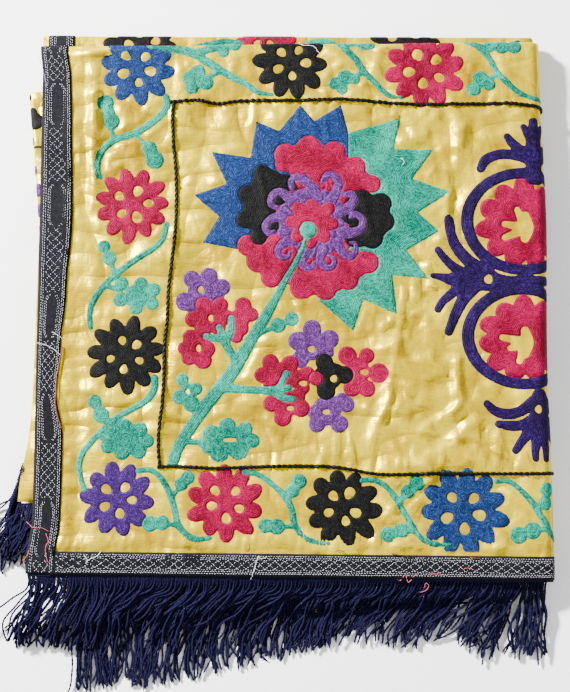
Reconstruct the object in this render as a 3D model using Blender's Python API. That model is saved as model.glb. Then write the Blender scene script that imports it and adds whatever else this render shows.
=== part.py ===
"""A folded suzani bedspread with woven tapes and a yarn fringe, lying on a flat surface.

The cloth is one rectangle. It is folded across its width, then twice along its length, so it lies in
eight plies. Every piece is drawn flat, by its place along the length (u), across the width (v) and
above the middle of the cloth (h), and one function then folds that place into space.
Metres, +Z up. The front of the pile, with the fringe, faces -Y.
"""
import math

import bpy

# The flat cloth: its length, the width of the ply that ends up on top, and of the ply under it
CLOTH_LENGTH = 2.237
TOP_WIDTH = 0.5795
UNDER_WIDTH = 0.524
CLOTH_WIDTH = TOP_WIDTH + UNDER_WIDTH
HALF_THICK = 0.0010

# Tapes, and the steps that let them lie flush in the cloth. The inner end's tape is sewn in from the
# edge, and the cloth's corner runs out past it. The end tape wavers: its rows give the place across
# the width and how wide it is there
INNER_MARGIN = 0.006
CORNER_RUN_OUT = 0.012
CORNER_SPREAD = 0.060
END_TAPE_ROWS = [
    (0.030, 0.0290),
    (0.145, 0.0290),
    (0.191, 0.0215),
    (0.242, 0.0250),
    (0.301, 0.0300),
    (0.381, 0.0350),
    (0.489, 0.0330),
    (0.580, 0.0290),
]
HEM_TAPE = 0.0235
TAPE_FACE = HALF_THICK
TAPE_BACK = 0.0001
BED = -0.0002
GAP = 0.0003
STEP = 0.0002

# The three folds, each the radius at the middle of the outermost ply. The side folds also have the
# place of their line along the length and its turn from the weave
TOP_RADIUS = 0.0015
LEFT_RADIUS = 0.0048
LEFT_PLACE = 1.109
LEFT_TURN = math.radians(-0.38)
RIGHT_RADIUS = 0.0114
RIGHT_PLACE = 0.542
RIGHT_TURN = math.radians(2.47)
FOLD_MIDDLE = TOP_WIDTH / 2

# Where the flat cloth's first corner comes to lie
CORNER_X = -0.2720
CORNER_Y = -0.2990
TOP_HEIGHT = 2 * RIGHT_RADIUS + HALF_THICK

# How far the loose pile has shifted
SIDE_WAVE = 0.0015
HEM_DROP = 0.006
TOP_TILT = 0.006
FLARE_LOW = 0.006
FLARE_HIGH = 0.003
RIPPLE = 0.0014

# Where each shift sets in, and the distance over which it grows
LEFT_PART = (-0.150, 0.100)
LOW_LEFT = (-0.235, 0.060)
HIGH_LEFT = (0.250, 0.030)
UPPER_PLIES = (0.0118, 0.0012)
HEM_BAND = (-0.170, 0.120)
TOP_BAND = (0.150, 0.120)
RIPPLED_PART = (-0.300, 0.060)

# Lengths of the waves along the right side, and of the two ripples each way
SIDE_WAVE_RUN = 0.31
RIPPLE_RUNS = [(0.23, 0.9), (-0.7, 0.27)]

# Fringe: the strip that holds the roots, and the yarns
STRIP_WIDTH = 0.0030
STRIP_HALF = 0.0009
YARN_WIDTH = 0.0024
YARN_HEIGHT = 0.0020
YARN_PITCH = 0.0041
YARN_LENGTH = 0.080
YARN_MARGIN = 0.003
YARN_CLEARANCE = 0.00132
TOP_FRINGE_MORE = 0.016

# Yarns that leave the top ply run over the turned lower plies and then drop
HALFWAY_HEIGHT = 0.0160
OVER_LOW_HEM = 0.0122
DROP_RUN = 0.018

# Yarns of the lower plies: their stretch of hem, where it ends, and the levels they lie at
LOW_FRINGE = 0.235
LOW_FRINGE_END = 0.060
LOW_SHORTENING = 0.018
LOW_SLOPE = [(0.006, 0.0088), (0.018, 0.0026)]
ABOVE_LOW_LEVEL = 0.0052
FLOOR_START = 0.006

# Yarns that leave the pile at its left side: their length, their lean and the edge they pass
CORNER_LENGTH = 0.074
CORNER_LEAN = 0.38
CORNER_EDGE = -0.286
CORNER_START = 0.007
CORNER_HEM = 0.036

# How the yarns are combed: the turn at the left, how much less at the right, and its slow changes
COMB_LEFT = 0.42
COMB_CHANGE = 0.52
COMB_WAVE = 0.05

# Middle of the finished piece's footprint, moved to the origin
FOOT_X = -0.0168
FOOT_Y = -0.0682

# Numbers of steps: in plies, and in bends
PLY_STEPS = {"top": 10, "floor": 7, "inner_low": 6, "inner_high": 7}
WIDTH_STEPS = {"top": 9, "under": 7}
WIDE_BEND_STEPS = 6
TIGHT_BEND_STEPS = 4


def ease(share):
    """Rise smoothly from 0 to 1 as the share does, and stay level outside that range."""
    held = min(1.0, max(0.0, share))
    return held * held * (3.0 - 2.0 * held)


def rising(value, band):
    """Grow from 0 to 1 past the band's start."""
    return ease((value - band[0]) / band[1])


def falling(value, band):
    """Grow from 0 to 1 below the band's start."""
    return ease((band[0] - value) / band[1])


def wave(place, run):
    """Give a plain wave of one length."""
    return math.sin(2 * math.pi * place / run)


def end_tape_width(v):
    """Read the end tape's width from its rows, easing from one row to the next."""
    rows = END_TAPE_ROWS
    if v <= rows[0][0]:
        return rows[0][1]
    for (low, width), (high, following) in zip(rows, rows[1:]):
        if v <= high:
            return width + (following - width) * ease((v - low) / (high - low))
    return rows[-1][1]


def inner_end(v):
    """Give the place of the inner end, which runs out towards its back corner."""
    return CLOTH_LENGTH + CORNER_RUN_OUT * math.exp(-((v - CLOTH_WIDTH) / CORNER_SPREAD) ** 2)


def fold_under(point, place, turn, radius):
    """Bend what lies past a line in the plane down and back under the rest."""
    x, y, z = point
    normal = (math.cos(turn), math.sin(turn))
    past = (x - place[0]) * normal[0] + (y - place[1]) * normal[1]
    if past <= 0.0:
        return point
    if past < math.pi * radius:
        angle = past / radius
        out = (radius + z) * math.sin(angle)
        height = (radius + z) * math.cos(angle) - radius
    else:
        out = math.pi * radius - past
        height = -2.0 * radius - z
    return (x + (out - past) * normal[0], y + (out - past) * normal[1], height)


def fold_lengthwise(point):
    """Fold across the width, then at the far half of the length."""
    point = fold_under(point, (0.0, TOP_WIDTH), math.pi / 2, TOP_RADIUS)
    return fold_under(point, (LEFT_PLACE, FOLD_MIDDLE), LEFT_TURN, LEFT_RADIUS)


def settle(point):
    """Let the pile shift as loose cloth does: the edges wander and the upper plies ripple."""
    x, y, z = point
    across = (x - CORNER_X) / RIGHT_PLACE
    middle = CORNER_Y + FOLD_MIDDLE
    upper_left = falling(x, LEFT_PART) * rising(z, UPPER_PLIES)
    shift_x = math.tan(RIGHT_TURN) * (y - middle) * ease(across)
    shift_x += SIDE_WAVE * wave(y, SIDE_WAVE_RUN) * ease(across)
    shift_x -= FLARE_LOW * falling(y, LOW_LEFT) * upper_left
    shift_x -= FLARE_HIGH * rising(y, HIGH_LEFT) * upper_left
    shift_y = -HEM_DROP * across * falling(y, HEM_BAND)
    shift_y += TOP_TILT * (across - 0.5) * rising(y, TOP_BAND)
    ripples = sum(wave(x / run_x + y / run_y, 1.0) for run_x, run_y in RIPPLE_RUNS) / 2
    raised = RIPPLE * ease(z / TOP_HEIGHT) * rising(y, RIPPLED_PART)
    return (x + shift_x - FOOT_X, y + shift_y - FOOT_Y, z + raised * ripples)


def folded(u, v, h):
    """Fold a place of the flat cloth into space."""
    point = fold_lengthwise((u, v, h))
    point = fold_under(point, (RIGHT_PLACE, FOLD_MIDDLE), RIGHT_TURN, RIGHT_RADIUS)
    return settle((point[0] + CORNER_X, point[1] + CORNER_Y, point[2] + TOP_HEIGHT))


def line_place(place, turn, y):
    """Give where a slanted fold line crosses a row of the weave."""
    return place - (y - FOLD_MIDDLE) * math.tan(turn)


def past_right_fold(u, v):
    """Measure how far a place lies past the right fold once the left one is made."""
    x, y, _ = fold_lengthwise((u, v, 0.0))
    return (x - RIGHT_PLACE) * math.cos(RIGHT_TURN) + (y - FOLD_MIDDLE) * math.sin(RIGHT_TURN)


def fold_marks(v):
    """Give the starts and ends of the four bends along one row."""
    y = fold_lengthwise((0.0, v, 0.0))[1]
    right = line_place(RIGHT_PLACE, RIGHT_TURN, y)
    left = line_place(LEFT_PLACE, LEFT_TURN, y)
    wide = math.pi * RIGHT_RADIUS / math.cos(RIGHT_TURN)
    left_end = left + math.pi * LEFT_RADIUS / math.cos(LEFT_TURN)
    start_gap = past_right_fold(left_end, v)
    slope = (past_right_fold(CLOTH_LENGTH, v) - start_gap) / (CLOTH_LENGTH - left_end)
    inner = left_end + (math.pi * RIGHT_RADIUS - start_gap) / slope
    inner_end = left_end - start_gap / slope
    return right, right + wide, left, left_end, inner, inner_end


def spread(marks, steps):
    """List places from the first mark to the last, with an even number of steps in each span."""
    places = [marks[0]]
    for start, end, count in zip(marks, marks[1:], steps):
        places += [start + (end - start) * (k + 1) / count for k in range(count)]
    return places


def length_places(v):
    """List the places along one row of the cloth, closer together in the bends."""
    bed = end_tape_width(v) + GAP
    sewn = CLOTH_LENGTH - INNER_MARGIN
    marks = [0.0, bed, bed + STEP]
    marks += fold_marks(v)
    marks += [sewn - bed - STEP, sewn - bed, sewn + GAP, sewn + GAP + STEP, inner_end(v)]
    steps = [1, 1, PLY_STEPS["top"], WIDE_BEND_STEPS, PLY_STEPS["floor"], TIGHT_BEND_STEPS]
    steps += [PLY_STEPS["inner_low"], TIGHT_BEND_STEPS, PLY_STEPS["inner_high"], 1, 1, 1, 1]
    return spread(marks, steps)


def width_places():
    """List the places across the cloth, closer together over the top fold."""
    bed = HEM_TAPE + GAP
    marks = [0.0, bed, bed + STEP, TOP_WIDTH, TOP_WIDTH + math.pi * TOP_RADIUS]
    marks += [CLOTH_WIDTH - bed - STEP, CLOTH_WIDTH - bed, CLOTH_WIDTH]
    steps = [1, 1, WIDTH_STEPS["top"], TIGHT_BEND_STEPS, WIDTH_STEPS["under"], 1, 1]
    return spread(marks, steps)


def material(name, colour, roughness):
    """Make a plain cloth material."""
    made = bpy.data.materials.new(name)
    made.use_nodes = True
    shader = made.node_tree.nodes["Principled BSDF"]
    shader.inputs["Base Color"].default_value = (*colour, 1.0)
    shader.inputs["Roughness"].default_value = roughness
    shader.inputs["Metallic"].default_value = 0.0
    return made


def add_object(name, vertices, faces, finish):
    """Make one object from its corners and faces."""
    mesh = bpy.data.meshes.new(name)
    mesh.from_pydata(vertices, [], faces)
    mesh.materials.append(finish)
    mesh.validate()
    piece = bpy.data.objects.new(name, mesh)
    bpy.context.scene.collection.objects.link(piece)
    return piece


def folded_sheet(name, grid, over, under, finish):
    """Make a closed sheet from rows of flat places, with the height of its face and of its back."""
    rows = len(grid)
    columns = len(grid[0])
    vertices = [folded(u, v, over(i, j)) for j, row in enumerate(grid) for i, (u, v) in enumerate(row)]
    vertices += [folded(u, v, under) for row in grid for u, v in row]
    back = rows * columns
    faces = []
    for j in range(rows - 1):
        for i in range(columns - 1):
            a = j * columns + i
            b = a + columns
            faces.append((a, a + 1, b + 1, b))
            faces.append((back + a, back + b, back + b + 1, back + a + 1))
    rim = [i for i in range(columns)]
    rim += [j * columns + columns - 1 for j in range(1, rows)]
    rim += [(rows - 1) * columns + i for i in range(columns - 2, -1, -1)]
    rim += [j * columns for j in range(rows - 2, 0, -1)]
    for a, b in zip(rim, rim[1:] + rim[:1]):
        faces.append((b, a, back + a, back + b))
    return add_object(name, vertices, faces, finish)


def make_cloth(finish):
    """Make the cloth, with a low bed along each edge for the tapes."""
    across = width_places()
    grid = [[(u, v) for u in length_places(v)] for v in across]
    last_row = len(grid) - 1
    last_column = len(grid[0]) - 1

    def face_height(i, j):
        under_end_tape = i < 2 or i in (last_column - 3, last_column - 2)
        under_hem_tape = min(j, last_row - j) < 2 and i < last_column - 1
        return BED if under_end_tape or under_hem_tape else HALF_THICK

    folded_sheet("cloth", grid, face_height, -HALF_THICK, finish)


def make_end_tape(name, at_start, finish):
    """Make a tape across one end of the cloth, over the top fold."""
    grid = []
    for v in width_places():
        width = end_tape_width(v)
        low = 0.0 if at_start else CLOTH_LENGTH - INNER_MARGIN - width
        grid.append([(low, v), (low + width, v)])
    folded_sheet(name, grid, lambda i, j: TAPE_FACE, TAPE_BACK, finish)


def make_hem_tape(name, low, high, finish):
    """Make a tape along one long edge, between the two end tapes."""
    grid = []
    for v in (low, high):
        places = length_places(v)
        kept = places[1:2] + places[3:-5] + places[-4:-3]
        grid.append([(u, v) for u in kept])
    folded_sheet(name, grid, lambda i, j: TAPE_FACE, TAPE_BACK, finish)


def yarn_ring(centre, heading):
    """Give the three corners of a yarn: two on the side it lies on, and one above."""
    side = (-math.sin(heading), math.cos(heading))
    half = YARN_WIDTH / 2
    left = (centre[0] - side[0] * half, centre[1] - side[1] * half, centre[2])
    right = (centre[0] + side[0] * half, centre[1] + side[1] * half, centre[2])
    return [left, right, (centre[0], centre[1], centre[2] + YARN_HEIGHT)]


def yarn_rings(root, heading, sweep, fall):
    """Lead a yarn from its root, turning as it goes, by its rows of distance and height."""
    length = fall[-1][0]
    x, y = root
    done = 0.0
    rings = []
    for distance, height in fall:
        run = distance - done
        middle_turn = heading - sweep * (done + run / 2) / length
        x += run * math.cos(middle_turn)
        y += run * math.sin(middle_turn)
        done = distance
        rings.append(yarn_ring((x, y, height), heading - sweep * distance / length))
    return rings


def sweep_at(x):
    """Give how far the yarns are combed to the left, by their place along the front."""
    return COMB_LEFT - COMB_CHANGE * ease((x - 0.02) / 0.24) + COMB_WAVE * wave(x, 0.16)


def length_at(x):
    """Let the ends of the yarns rise and fall along the front."""
    return YARN_LENGTH + 0.004 * wave(x, 0.11) + 0.003 * wave(x, 0.037)


def low_length_at(x):
    """Shorten the lower plies' yarns towards the middle, where the top fringe covers them."""
    return length_at(x + 0.05) - 0.002 - LOW_SHORTENING * ease((x + 0.12) / 0.11)


def low_hem_lead(x):
    """Give how far the turned lower plies stand out past the top ply's hem."""
    return max(0.0, (RIGHT_PLACE + CORNER_X - x) * math.tan(2 * RIGHT_TURN))


def fall_from_top(root):
    """Let a yarn of the top ply run over the lower plies and drop past their hem."""
    x = root[0] + FOOT_X
    carried = low_hem_lead(x) + STRIP_WIDTH + 0.004
    rest = ABOVE_LOW_LEVEL if x < LOW_FRINGE_END else 0.0
    length = max(length_at(x), carried + DROP_RUN + 0.012)
    slope = [(carried / 2, HALFWAY_HEIGHT), (carried, OVER_LOW_HEM)]
    return slope + [(carried + DROP_RUN, rest), (length, rest)]


def fall_from_low(root):
    """Let a yarn of the third level drop onto the yarns on the floor."""
    length = low_length_at(root[0] + FOOT_X)
    level = LOW_SLOPE[-1][1]
    return LOW_SLOPE + [(length / 2, level), (length, level)]


def fall_on_floor(root):
    """Let a yarn of the lowest ply lie level on the floor."""
    length = low_length_at(root[0] + FOOT_X) - 0.004
    return [(FLOOR_START, 0.0), (length / 2, 0.0), (length, 0.0)]


def fall_at_corner(root):
    """Let a yarn of the hidden ply leave the pile at its left side and drop to the floor."""
    x = root[0] + FOOT_X
    carried = CORNER_START + max(0.0, x - CORNER_EDGE) / math.sin(CORNER_LEAN)
    low = carried + DROP_RUN
    if low > CORNER_LENGTH:
        return [(CORNER_LENGTH / 2, root[2]), (CORNER_LENGTH, root[2])]
    return [(carried * 0.6, root[2]), (carried, root[2]), (low, 0.0), (CORNER_LENGTH, 0.0)]


def root_rows():
    """List the stretches of fringe that show: hem, first and last place, fall and lean of the yarns."""
    top = (YARN_MARGIN, RIGHT_PLACE + TOP_FRINGE_MORE)
    left = fold_marks(0.0)[2]
    left_end = fold_marks(0.0)[3]
    corner_end = inner_end(CLOTH_WIDTH)
    corner = (corner_end - CORNER_HEM, corner_end - YARN_MARGIN)
    return [
        ("front", top, fall_from_top, 0.0),
        ("front", (left - LOW_FRINGE, left - YARN_MARGIN), fall_on_floor, 0.0),
        ("front", (left_end + YARN_MARGIN, left_end + LOW_FRINGE), fall_from_low, 0.0),
        ("back", corner, fall_at_corner, CORNER_LEAN),
    ]


def root_places(hem):
    """Give each yarn's place along a hem, clear of the steps of its edge, with its fall and lean."""
    edge = 0.0 if hem == "front" else CLOTH_WIDTH
    steps = length_places(edge)
    places = []
    for row_hem, (start, end), fall, lean in root_rows():
        if row_hem == hem:
            count = int((end - start) / YARN_PITCH)
            pitch = (end - start) / count
            for k in range(count + 1):
                u = start + pitch * k
                near = min(steps, key=lambda step: abs(step - u))
                if abs(near - u) > YARN_CLEARANCE:
                    places.append((u, fall, lean))
    return places


def beside_hem(u, v, h, hem):
    """Fold a place beside a hem so that it lies on the straight steps of the cloth's own edge."""
    places = length_places(hem)
    last = len(places) - 1
    k = next((i for i in range(1, last) if places[i] >= u), last)
    share = (u - places[k - 1]) / (places[k] - places[k - 1])
    start = folded(places[k - 1], v, h)
    end = folded(places[k], v, h)
    return tuple(a + (b - a) * share for a, b in zip(start, end))


def make_fringe(name, edge, way, roots, finish):
    """Make one strip with its yarns. The way is 1 where the cloth's width rises from this hem."""
    vertices = []
    faces = []
    front = edge - way * (GAP + STRIP_WIDTH)
    rear = edge - way * GAP

    def corner(u, v, h):
        vertices.append(beside_hem(u, v, h, edge))
        return len(vertices) - 1

    def fan(chain, start, end, flip):
        half = len(chain) // 2
        triangles = [(start, a, b) for a, b in zip(chain[:half], chain[1:half + 1])]
        triangles += [(end, a, b) for a, b in zip(chain[half:], chain[half + 1:])]
        triangles.append((start, chain[half], end))
        faces.extend((a, c, b) if flip else (a, b, c) for a, b, c in triangles)

    def add_yarn(ring, root):
        centre = [(vertices[ring[0]][k] + vertices[ring[1]][k]) / 2 for k in range(3)]
        inner = beside_hem(root[0], rear, 0.0, edge)
        outer = beside_hem(root[0], front, 0.0, edge)
        heading = math.atan2(outer[1] - inner[1], outer[0] - inner[0]) - root[2]
        sweep = sweep_at(centre[0] + FOOT_X) if root[2] == 0.0 else 0.0
        for corners in yarn_rings(centre[:2], heading, sweep, root[1](centre)):
            vertices.extend(corners)
            count = len(vertices)
            following = [count - 3, count - 2, count - 1]
            for a in range(3):
                b = (a + 1) % 3
                faces.append((ring[a], ring[b], following[b], following[a]))
            ring = following
        faces.append(tuple(ring))

    items = [(place, None) for place in length_places(edge)] + [(r[0], r) for r in roots]
    items.sort(key=lambda item: item[0] * way)
    low_chain = []
    high_chain = []
    section = None
    for u, root in items:
        facing_up = folded(u, front, STRIP_HALF)[2] > folded(u, front, -STRIP_HALF)[2]
        half = way * YARN_WIDTH / 2
        if root is None:
            low = [corner(u, front, -STRIP_HALF)]
            high = [corner(u, front, STRIP_HALF)]
        elif facing_up:
            low = [corner(u - half, front, -STRIP_HALF), corner(u + half, front, -STRIP_HALF)]
            high = [corner(u, front, STRIP_HALF)]
            add_yarn([low[0], low[1], high[0]], root)
        else:
            low = [corner(u, front, -STRIP_HALF)]
            high = [corner(u - half, front, STRIP_HALF), corner(u + half, front, STRIP_HALF)]
            add_yarn([high[1], high[0], low[0]], root)
        if low_chain:
            faces.append((low_chain[-1], low[0], high[0], high_chain[-1]))
        low_chain += low
        high_chain += high
        if root is not None:
            continue
        rear_low = corner(u, rear, -STRIP_HALF)
        rear_high = corner(u, rear, STRIP_HALF)
        if section is None:
            faces.append((low[0], high[0], rear_high, rear_low))
        else:
            old_low, old_high = section
            faces.append((rear_low, old_low, old_high, rear_high))
            fan(high_chain, old_high, rear_high, False)
            fan(low_chain, old_low, rear_low, True)
        section = (rear_low, rear_high)
        low_chain = low
        high_chain = high
    faces.append((high_chain[-1], low_chain[-1], section[0], section[1]))
    add_object(name, vertices, faces, finish)


def build():
    """Clear the scene and make every piece."""
    for old in list(bpy.data.objects):
        bpy.data.objects.remove(old, do_unlink=True)
    satin = material("satin", (0.72, 0.56, 0.16), 0.55)
    tape = material("tape", (0.03, 0.03, 0.04), 0.80)
    yarn = material("yarn", (0.02, 0.02, 0.06), 0.90)
    make_cloth(satin)
    make_end_tape("end_tape_top", True, tape)
    make_end_tape("end_tape_inner", False, tape)
    make_hem_tape("hem_tape_front", 0.0, HEM_TAPE, tape)
    make_hem_tape("hem_tape_back", CLOTH_WIDTH - HEM_TAPE, CLOTH_WIDTH, tape)
    make_fringe("fringe_front", 0.0, 1.0, root_places("front"), yarn)
    make_fringe("fringe_back", CLOTH_WIDTH, -1.0, root_places("back"), yarn)


build()
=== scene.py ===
# %% [markdown]
# # A folded suzani bedspread
#
# A suzani is a cloth covered with chain-stitch flowers. This one is yellow satin with a black woven
# tape along its edges and a fringe of navy yarn. It lies folded in eight plies. The solids of the plies
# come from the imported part, and this file dresses them: a thin satin sheet with its creases, raised
# embroidery, stitched tapes and twisted yarns.

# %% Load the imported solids
import bpy
import math
import numpy as np
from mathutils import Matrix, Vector
from mathutils.geometry import delaunay_2d_cdt


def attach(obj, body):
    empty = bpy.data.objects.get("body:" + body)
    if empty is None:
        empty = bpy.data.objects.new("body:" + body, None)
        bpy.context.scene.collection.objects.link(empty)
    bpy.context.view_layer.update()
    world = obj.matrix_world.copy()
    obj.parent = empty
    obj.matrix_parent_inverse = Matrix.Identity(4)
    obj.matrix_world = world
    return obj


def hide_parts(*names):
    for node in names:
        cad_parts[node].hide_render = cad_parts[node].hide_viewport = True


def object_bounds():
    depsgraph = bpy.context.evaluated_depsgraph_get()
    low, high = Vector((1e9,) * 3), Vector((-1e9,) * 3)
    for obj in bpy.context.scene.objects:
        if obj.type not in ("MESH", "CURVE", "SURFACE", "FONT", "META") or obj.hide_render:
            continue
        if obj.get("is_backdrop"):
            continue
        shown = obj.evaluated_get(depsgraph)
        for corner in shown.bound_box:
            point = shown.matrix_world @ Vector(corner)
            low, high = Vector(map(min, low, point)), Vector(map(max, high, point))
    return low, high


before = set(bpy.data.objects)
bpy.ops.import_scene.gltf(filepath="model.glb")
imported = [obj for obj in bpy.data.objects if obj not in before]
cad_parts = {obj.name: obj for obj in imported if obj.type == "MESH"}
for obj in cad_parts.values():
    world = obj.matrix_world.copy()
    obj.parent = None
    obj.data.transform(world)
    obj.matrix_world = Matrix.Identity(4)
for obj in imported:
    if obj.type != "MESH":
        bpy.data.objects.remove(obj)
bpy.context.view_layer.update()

print("solids:", sorted(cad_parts))

# %% [markdown]
# ## Sizes of the cloth
#
# Everything is sewn on the cloth while it is flat, so every piece here is first drawn flat and then
# folded. A flat place has three numbers: u along the length, v across the width from the front hem, and
# h above the middle of the cloth. The sizes are the same as those of the solids, in metres.

# %% Sizes
CLOTH_LENGTH = 2.237
TOP_WIDTH = 0.5795
UNDER_WIDTH = 0.524
CLOTH_WIDTH = TOP_WIDTH + UNDER_WIDTH
INNER_MARGIN = 0.006
CORNER_RUN_OUT = 0.012
CORNER_SPREAD = 0.060
END_TAPE_ROWS = [(0.030, 0.0290), (0.145, 0.0290), (0.191, 0.0215), (0.242, 0.0250)]
END_TAPE_ROWS += [(0.301, 0.0300), (0.381, 0.0350), (0.489, 0.0330), (0.580, 0.0290)]
HEM_TAPE = 0.0235
TOP_RADIUS = 0.0015
LEFT_RADIUS = 0.0048
LEFT_PLACE = 1.109
LEFT_TURN = math.radians(-0.38)
RIGHT_RADIUS = 0.0114
RIGHT_PLACE = 0.542
RIGHT_TURN = math.radians(2.47)
FOLD_MIDDLE = TOP_WIDTH / 2
CORNER_X = -0.2720
CORNER_Y = -0.2990
TOP_HEIGHT = 2 * RIGHT_RADIUS + 0.0010
FOOT_X = -0.0168
FOOT_Y = -0.0682

SIDE_WAVE = 0.0015
SIDE_WAVE_RUN = 0.31
HEM_DROP = 0.006
TOP_TILT = 0.006
FLARE_LOW = 0.006
FLARE_HIGH = 0.003
RIPPLE = 0.0014
RIPPLE_RUNS = [(0.23, 0.9), (-0.7, 0.27)]
LEFT_PART = (-0.150, 0.100)
LOW_LEFT = (-0.235, 0.060)
HIGH_LEFT = (0.250, 0.030)
UPPER_PLIES = (0.0118, 0.0012)
HEM_BAND = (-0.170, 0.120)
TOP_BAND = (0.150, 0.120)
RIPPLED_PART = (-0.300, 0.060)

SATIN_HALF = 0.0004
MM = 0.001
print("flat cloth:", CLOTH_LENGTH, "by", CLOTH_WIDTH, "m")

# %% [markdown]
# ## From flat cloth to folded cloth
#
# The cloth is folded three times: across its width, then at the middle of its length, then once more.
# Each fold bends what lies past a line round a small radius and lays it back underneath. Working on
# whole lists of places with numpy keeps this quick, because there are hundreds of thousands of corners.

# %% Helpers for gentle changes
def ease(share):
    """Go from 0 to 1 without corners."""
    held = np.clip(share, 0.0, 1.0)
    return held * held * (3 - 2 * held)


def rising(value, band):
    """Go from 0 to 1 from the band's start over its width."""
    return ease((value - band[0]) / band[1])


def falling(value, band):
    """Go from 0 to 1 below the band's start."""
    return ease((band[0] - value) / band[1])


def wave(place, run):
    """Give a wave of that run."""
    return np.sin(2 * math.pi * place / run)


# %% Folding
def fold_under(points, place, turn, radius):
    """Bend what lies past a line in the plane down and back under the rest."""
    normal = np.array([math.cos(turn), math.sin(turn)])
    past = (points[:, :2] - place) @ normal
    angle = np.clip(past / radius, 0.0, math.pi)
    z = points[:, 2]
    out = (radius + z) * np.sin(angle) - np.maximum(past - math.pi * radius, 0.0)
    out += np.minimum(past, 0.0)
    height = (radius + z) * np.cos(angle) - radius
    moved = points.copy()
    moved[:, :2] += (out - past)[:, None] * normal
    moved[:, 2] = height
    return moved


def fold_lengthwise(points):
    """Fold across the width, then at the middle of the length."""
    points = fold_under(points, (0.0, TOP_WIDTH), math.pi / 2, TOP_RADIUS)
    return fold_under(points, (LEFT_PLACE, FOLD_MIDDLE), LEFT_TURN, LEFT_RADIUS)


def settle(points):
    """Let the pile shift as loose cloth does: the edges wander and the upper plies ripple."""
    x, y, z = points.T
    across = (x - CORNER_X) / RIGHT_PLACE
    middle = CORNER_Y + FOLD_MIDDLE
    upper_left = falling(x, LEFT_PART) * rising(z, UPPER_PLIES)
    shift_x = math.tan(RIGHT_TURN) * (y - middle) * ease(across)
    shift_x = shift_x + SIDE_WAVE * wave(y, SIDE_WAVE_RUN) * ease(across)
    shift_x -= FLARE_LOW * falling(y, LOW_LEFT) * upper_left
    shift_x -= FLARE_HIGH * rising(y, HIGH_LEFT) * upper_left
    shift_y = -HEM_DROP * across * falling(y, HEM_BAND)
    shift_y = shift_y + TOP_TILT * (across - 0.5) * rising(y, TOP_BAND)
    ripples = sum(wave(x / run_x + y / run_y, 1.0) for run_x, run_y in RIPPLE_RUNS) / 2
    raised = RIPPLE * ease(z / TOP_HEIGHT) * rising(y, RIPPLED_PART)
    return np.stack([x + shift_x - FOOT_X, y + shift_y - FOOT_Y, z + raised * ripples], 1)


def folded(flat):
    """Fold flat places of the cloth into space."""
    points = fold_lengthwise(np.asarray(flat, float).reshape(-1, 3))
    points = fold_under(points, (RIGHT_PLACE, FOLD_MIDDLE), RIGHT_TURN, RIGHT_RADIUS)
    return settle(points + (CORNER_X, CORNER_Y, TOP_HEIGHT))


# %% Where the bends lie
def line_place(place, turn, y):
    """Give where a slanted fold line crosses a row of the weave."""
    return place - (y - FOLD_MIDDLE) * math.tan(turn)


def past_right_fold(u, v):
    """Measure how far a place lies past the right fold once the left one is made."""
    x, y, _ = fold_lengthwise(np.array([[u, v, 0.0]]))[0]
    return (x - RIGHT_PLACE) * math.cos(RIGHT_TURN) + (y - FOLD_MIDDLE) * math.sin(RIGHT_TURN)


def fold_marks(v):
    """Give the starts and ends of the bends along one row."""
    y = fold_lengthwise(np.array([[0.0, v, 0.0]]))[0][1]
    right = line_place(RIGHT_PLACE, RIGHT_TURN, y)
    left = line_place(LEFT_PLACE, LEFT_TURN, y)
    wide = math.pi * RIGHT_RADIUS / math.cos(RIGHT_TURN)
    left_end = left + math.pi * LEFT_RADIUS / math.cos(LEFT_TURN)
    start_gap = past_right_fold(left_end, v)
    slope = (past_right_fold(CLOTH_LENGTH, v) - start_gap) / (CLOTH_LENGTH - left_end)
    inner = left_end + (math.pi * RIGHT_RADIUS - start_gap) / slope
    return right, right + wide, left, left_end, inner, left_end - start_gap / slope


def inner_end(v):
    """Give the place of the hidden end, which runs out towards its back corner."""
    return CLOTH_LENGTH + CORNER_RUN_OUT * np.exp(-((v - CLOTH_WIDTH) / CORNER_SPREAD) ** 2)


def end_tape_width(v):
    """Give the width of the end tape, which is sewn unevenly."""
    places, widths = zip(*END_TAPE_ROWS)
    k = np.clip(np.searchsorted(places, v) - 1, 0, len(places) - 2)
    low, high = np.array(places)[k], np.array(places)[k + 1]
    start, end = np.array(widths)[k], np.array(widths)[k + 1]
    return start + (end - start) * ease((v - low) / (high - low))


print("bends along the hem:", [round(float(mark), 4) for mark in fold_marks(0.0)])

# %% [markdown]
# ## Places on the top ply
#
# The flowers are drawn in millimetres from the middle of the panel that lies on top. A few steps of
# correction find the flat place that folds to each of those places.

# %% From the panel to the flat cloth
def flat_of(panel):
    """Give the flat places, u and v in metres, of places on the panel in millimetres."""
    panel = np.asarray(panel, float).reshape(-1, 2)
    wanted = panel * MM - (FOOT_X, FOOT_Y)
    flat = panel * MM - (CORNER_X, CORNER_Y)
    level = np.full(len(flat), TOP_HEIGHT)
    for _ in range(8):
        flat = flat + (wanted - settle(np.column_stack([flat + (CORNER_X, CORNER_Y), level]))[:, :2])
    return flat


print("the panel's middle lies at", flat_of([(0, 0)]).round(4).tolist())

# %% [markdown]
# ## Finishes
#
# Five kinds of finish dress the bedspread: satin, embroidery silk, woven tape, loose or machine-sewn
# thread and navy yarn. Each is built from nodes on the flat map of its piece, so that the weave follows the cloth round
# every fold. A small helper adds a node and sets its values, which keeps each finish short.

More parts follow.
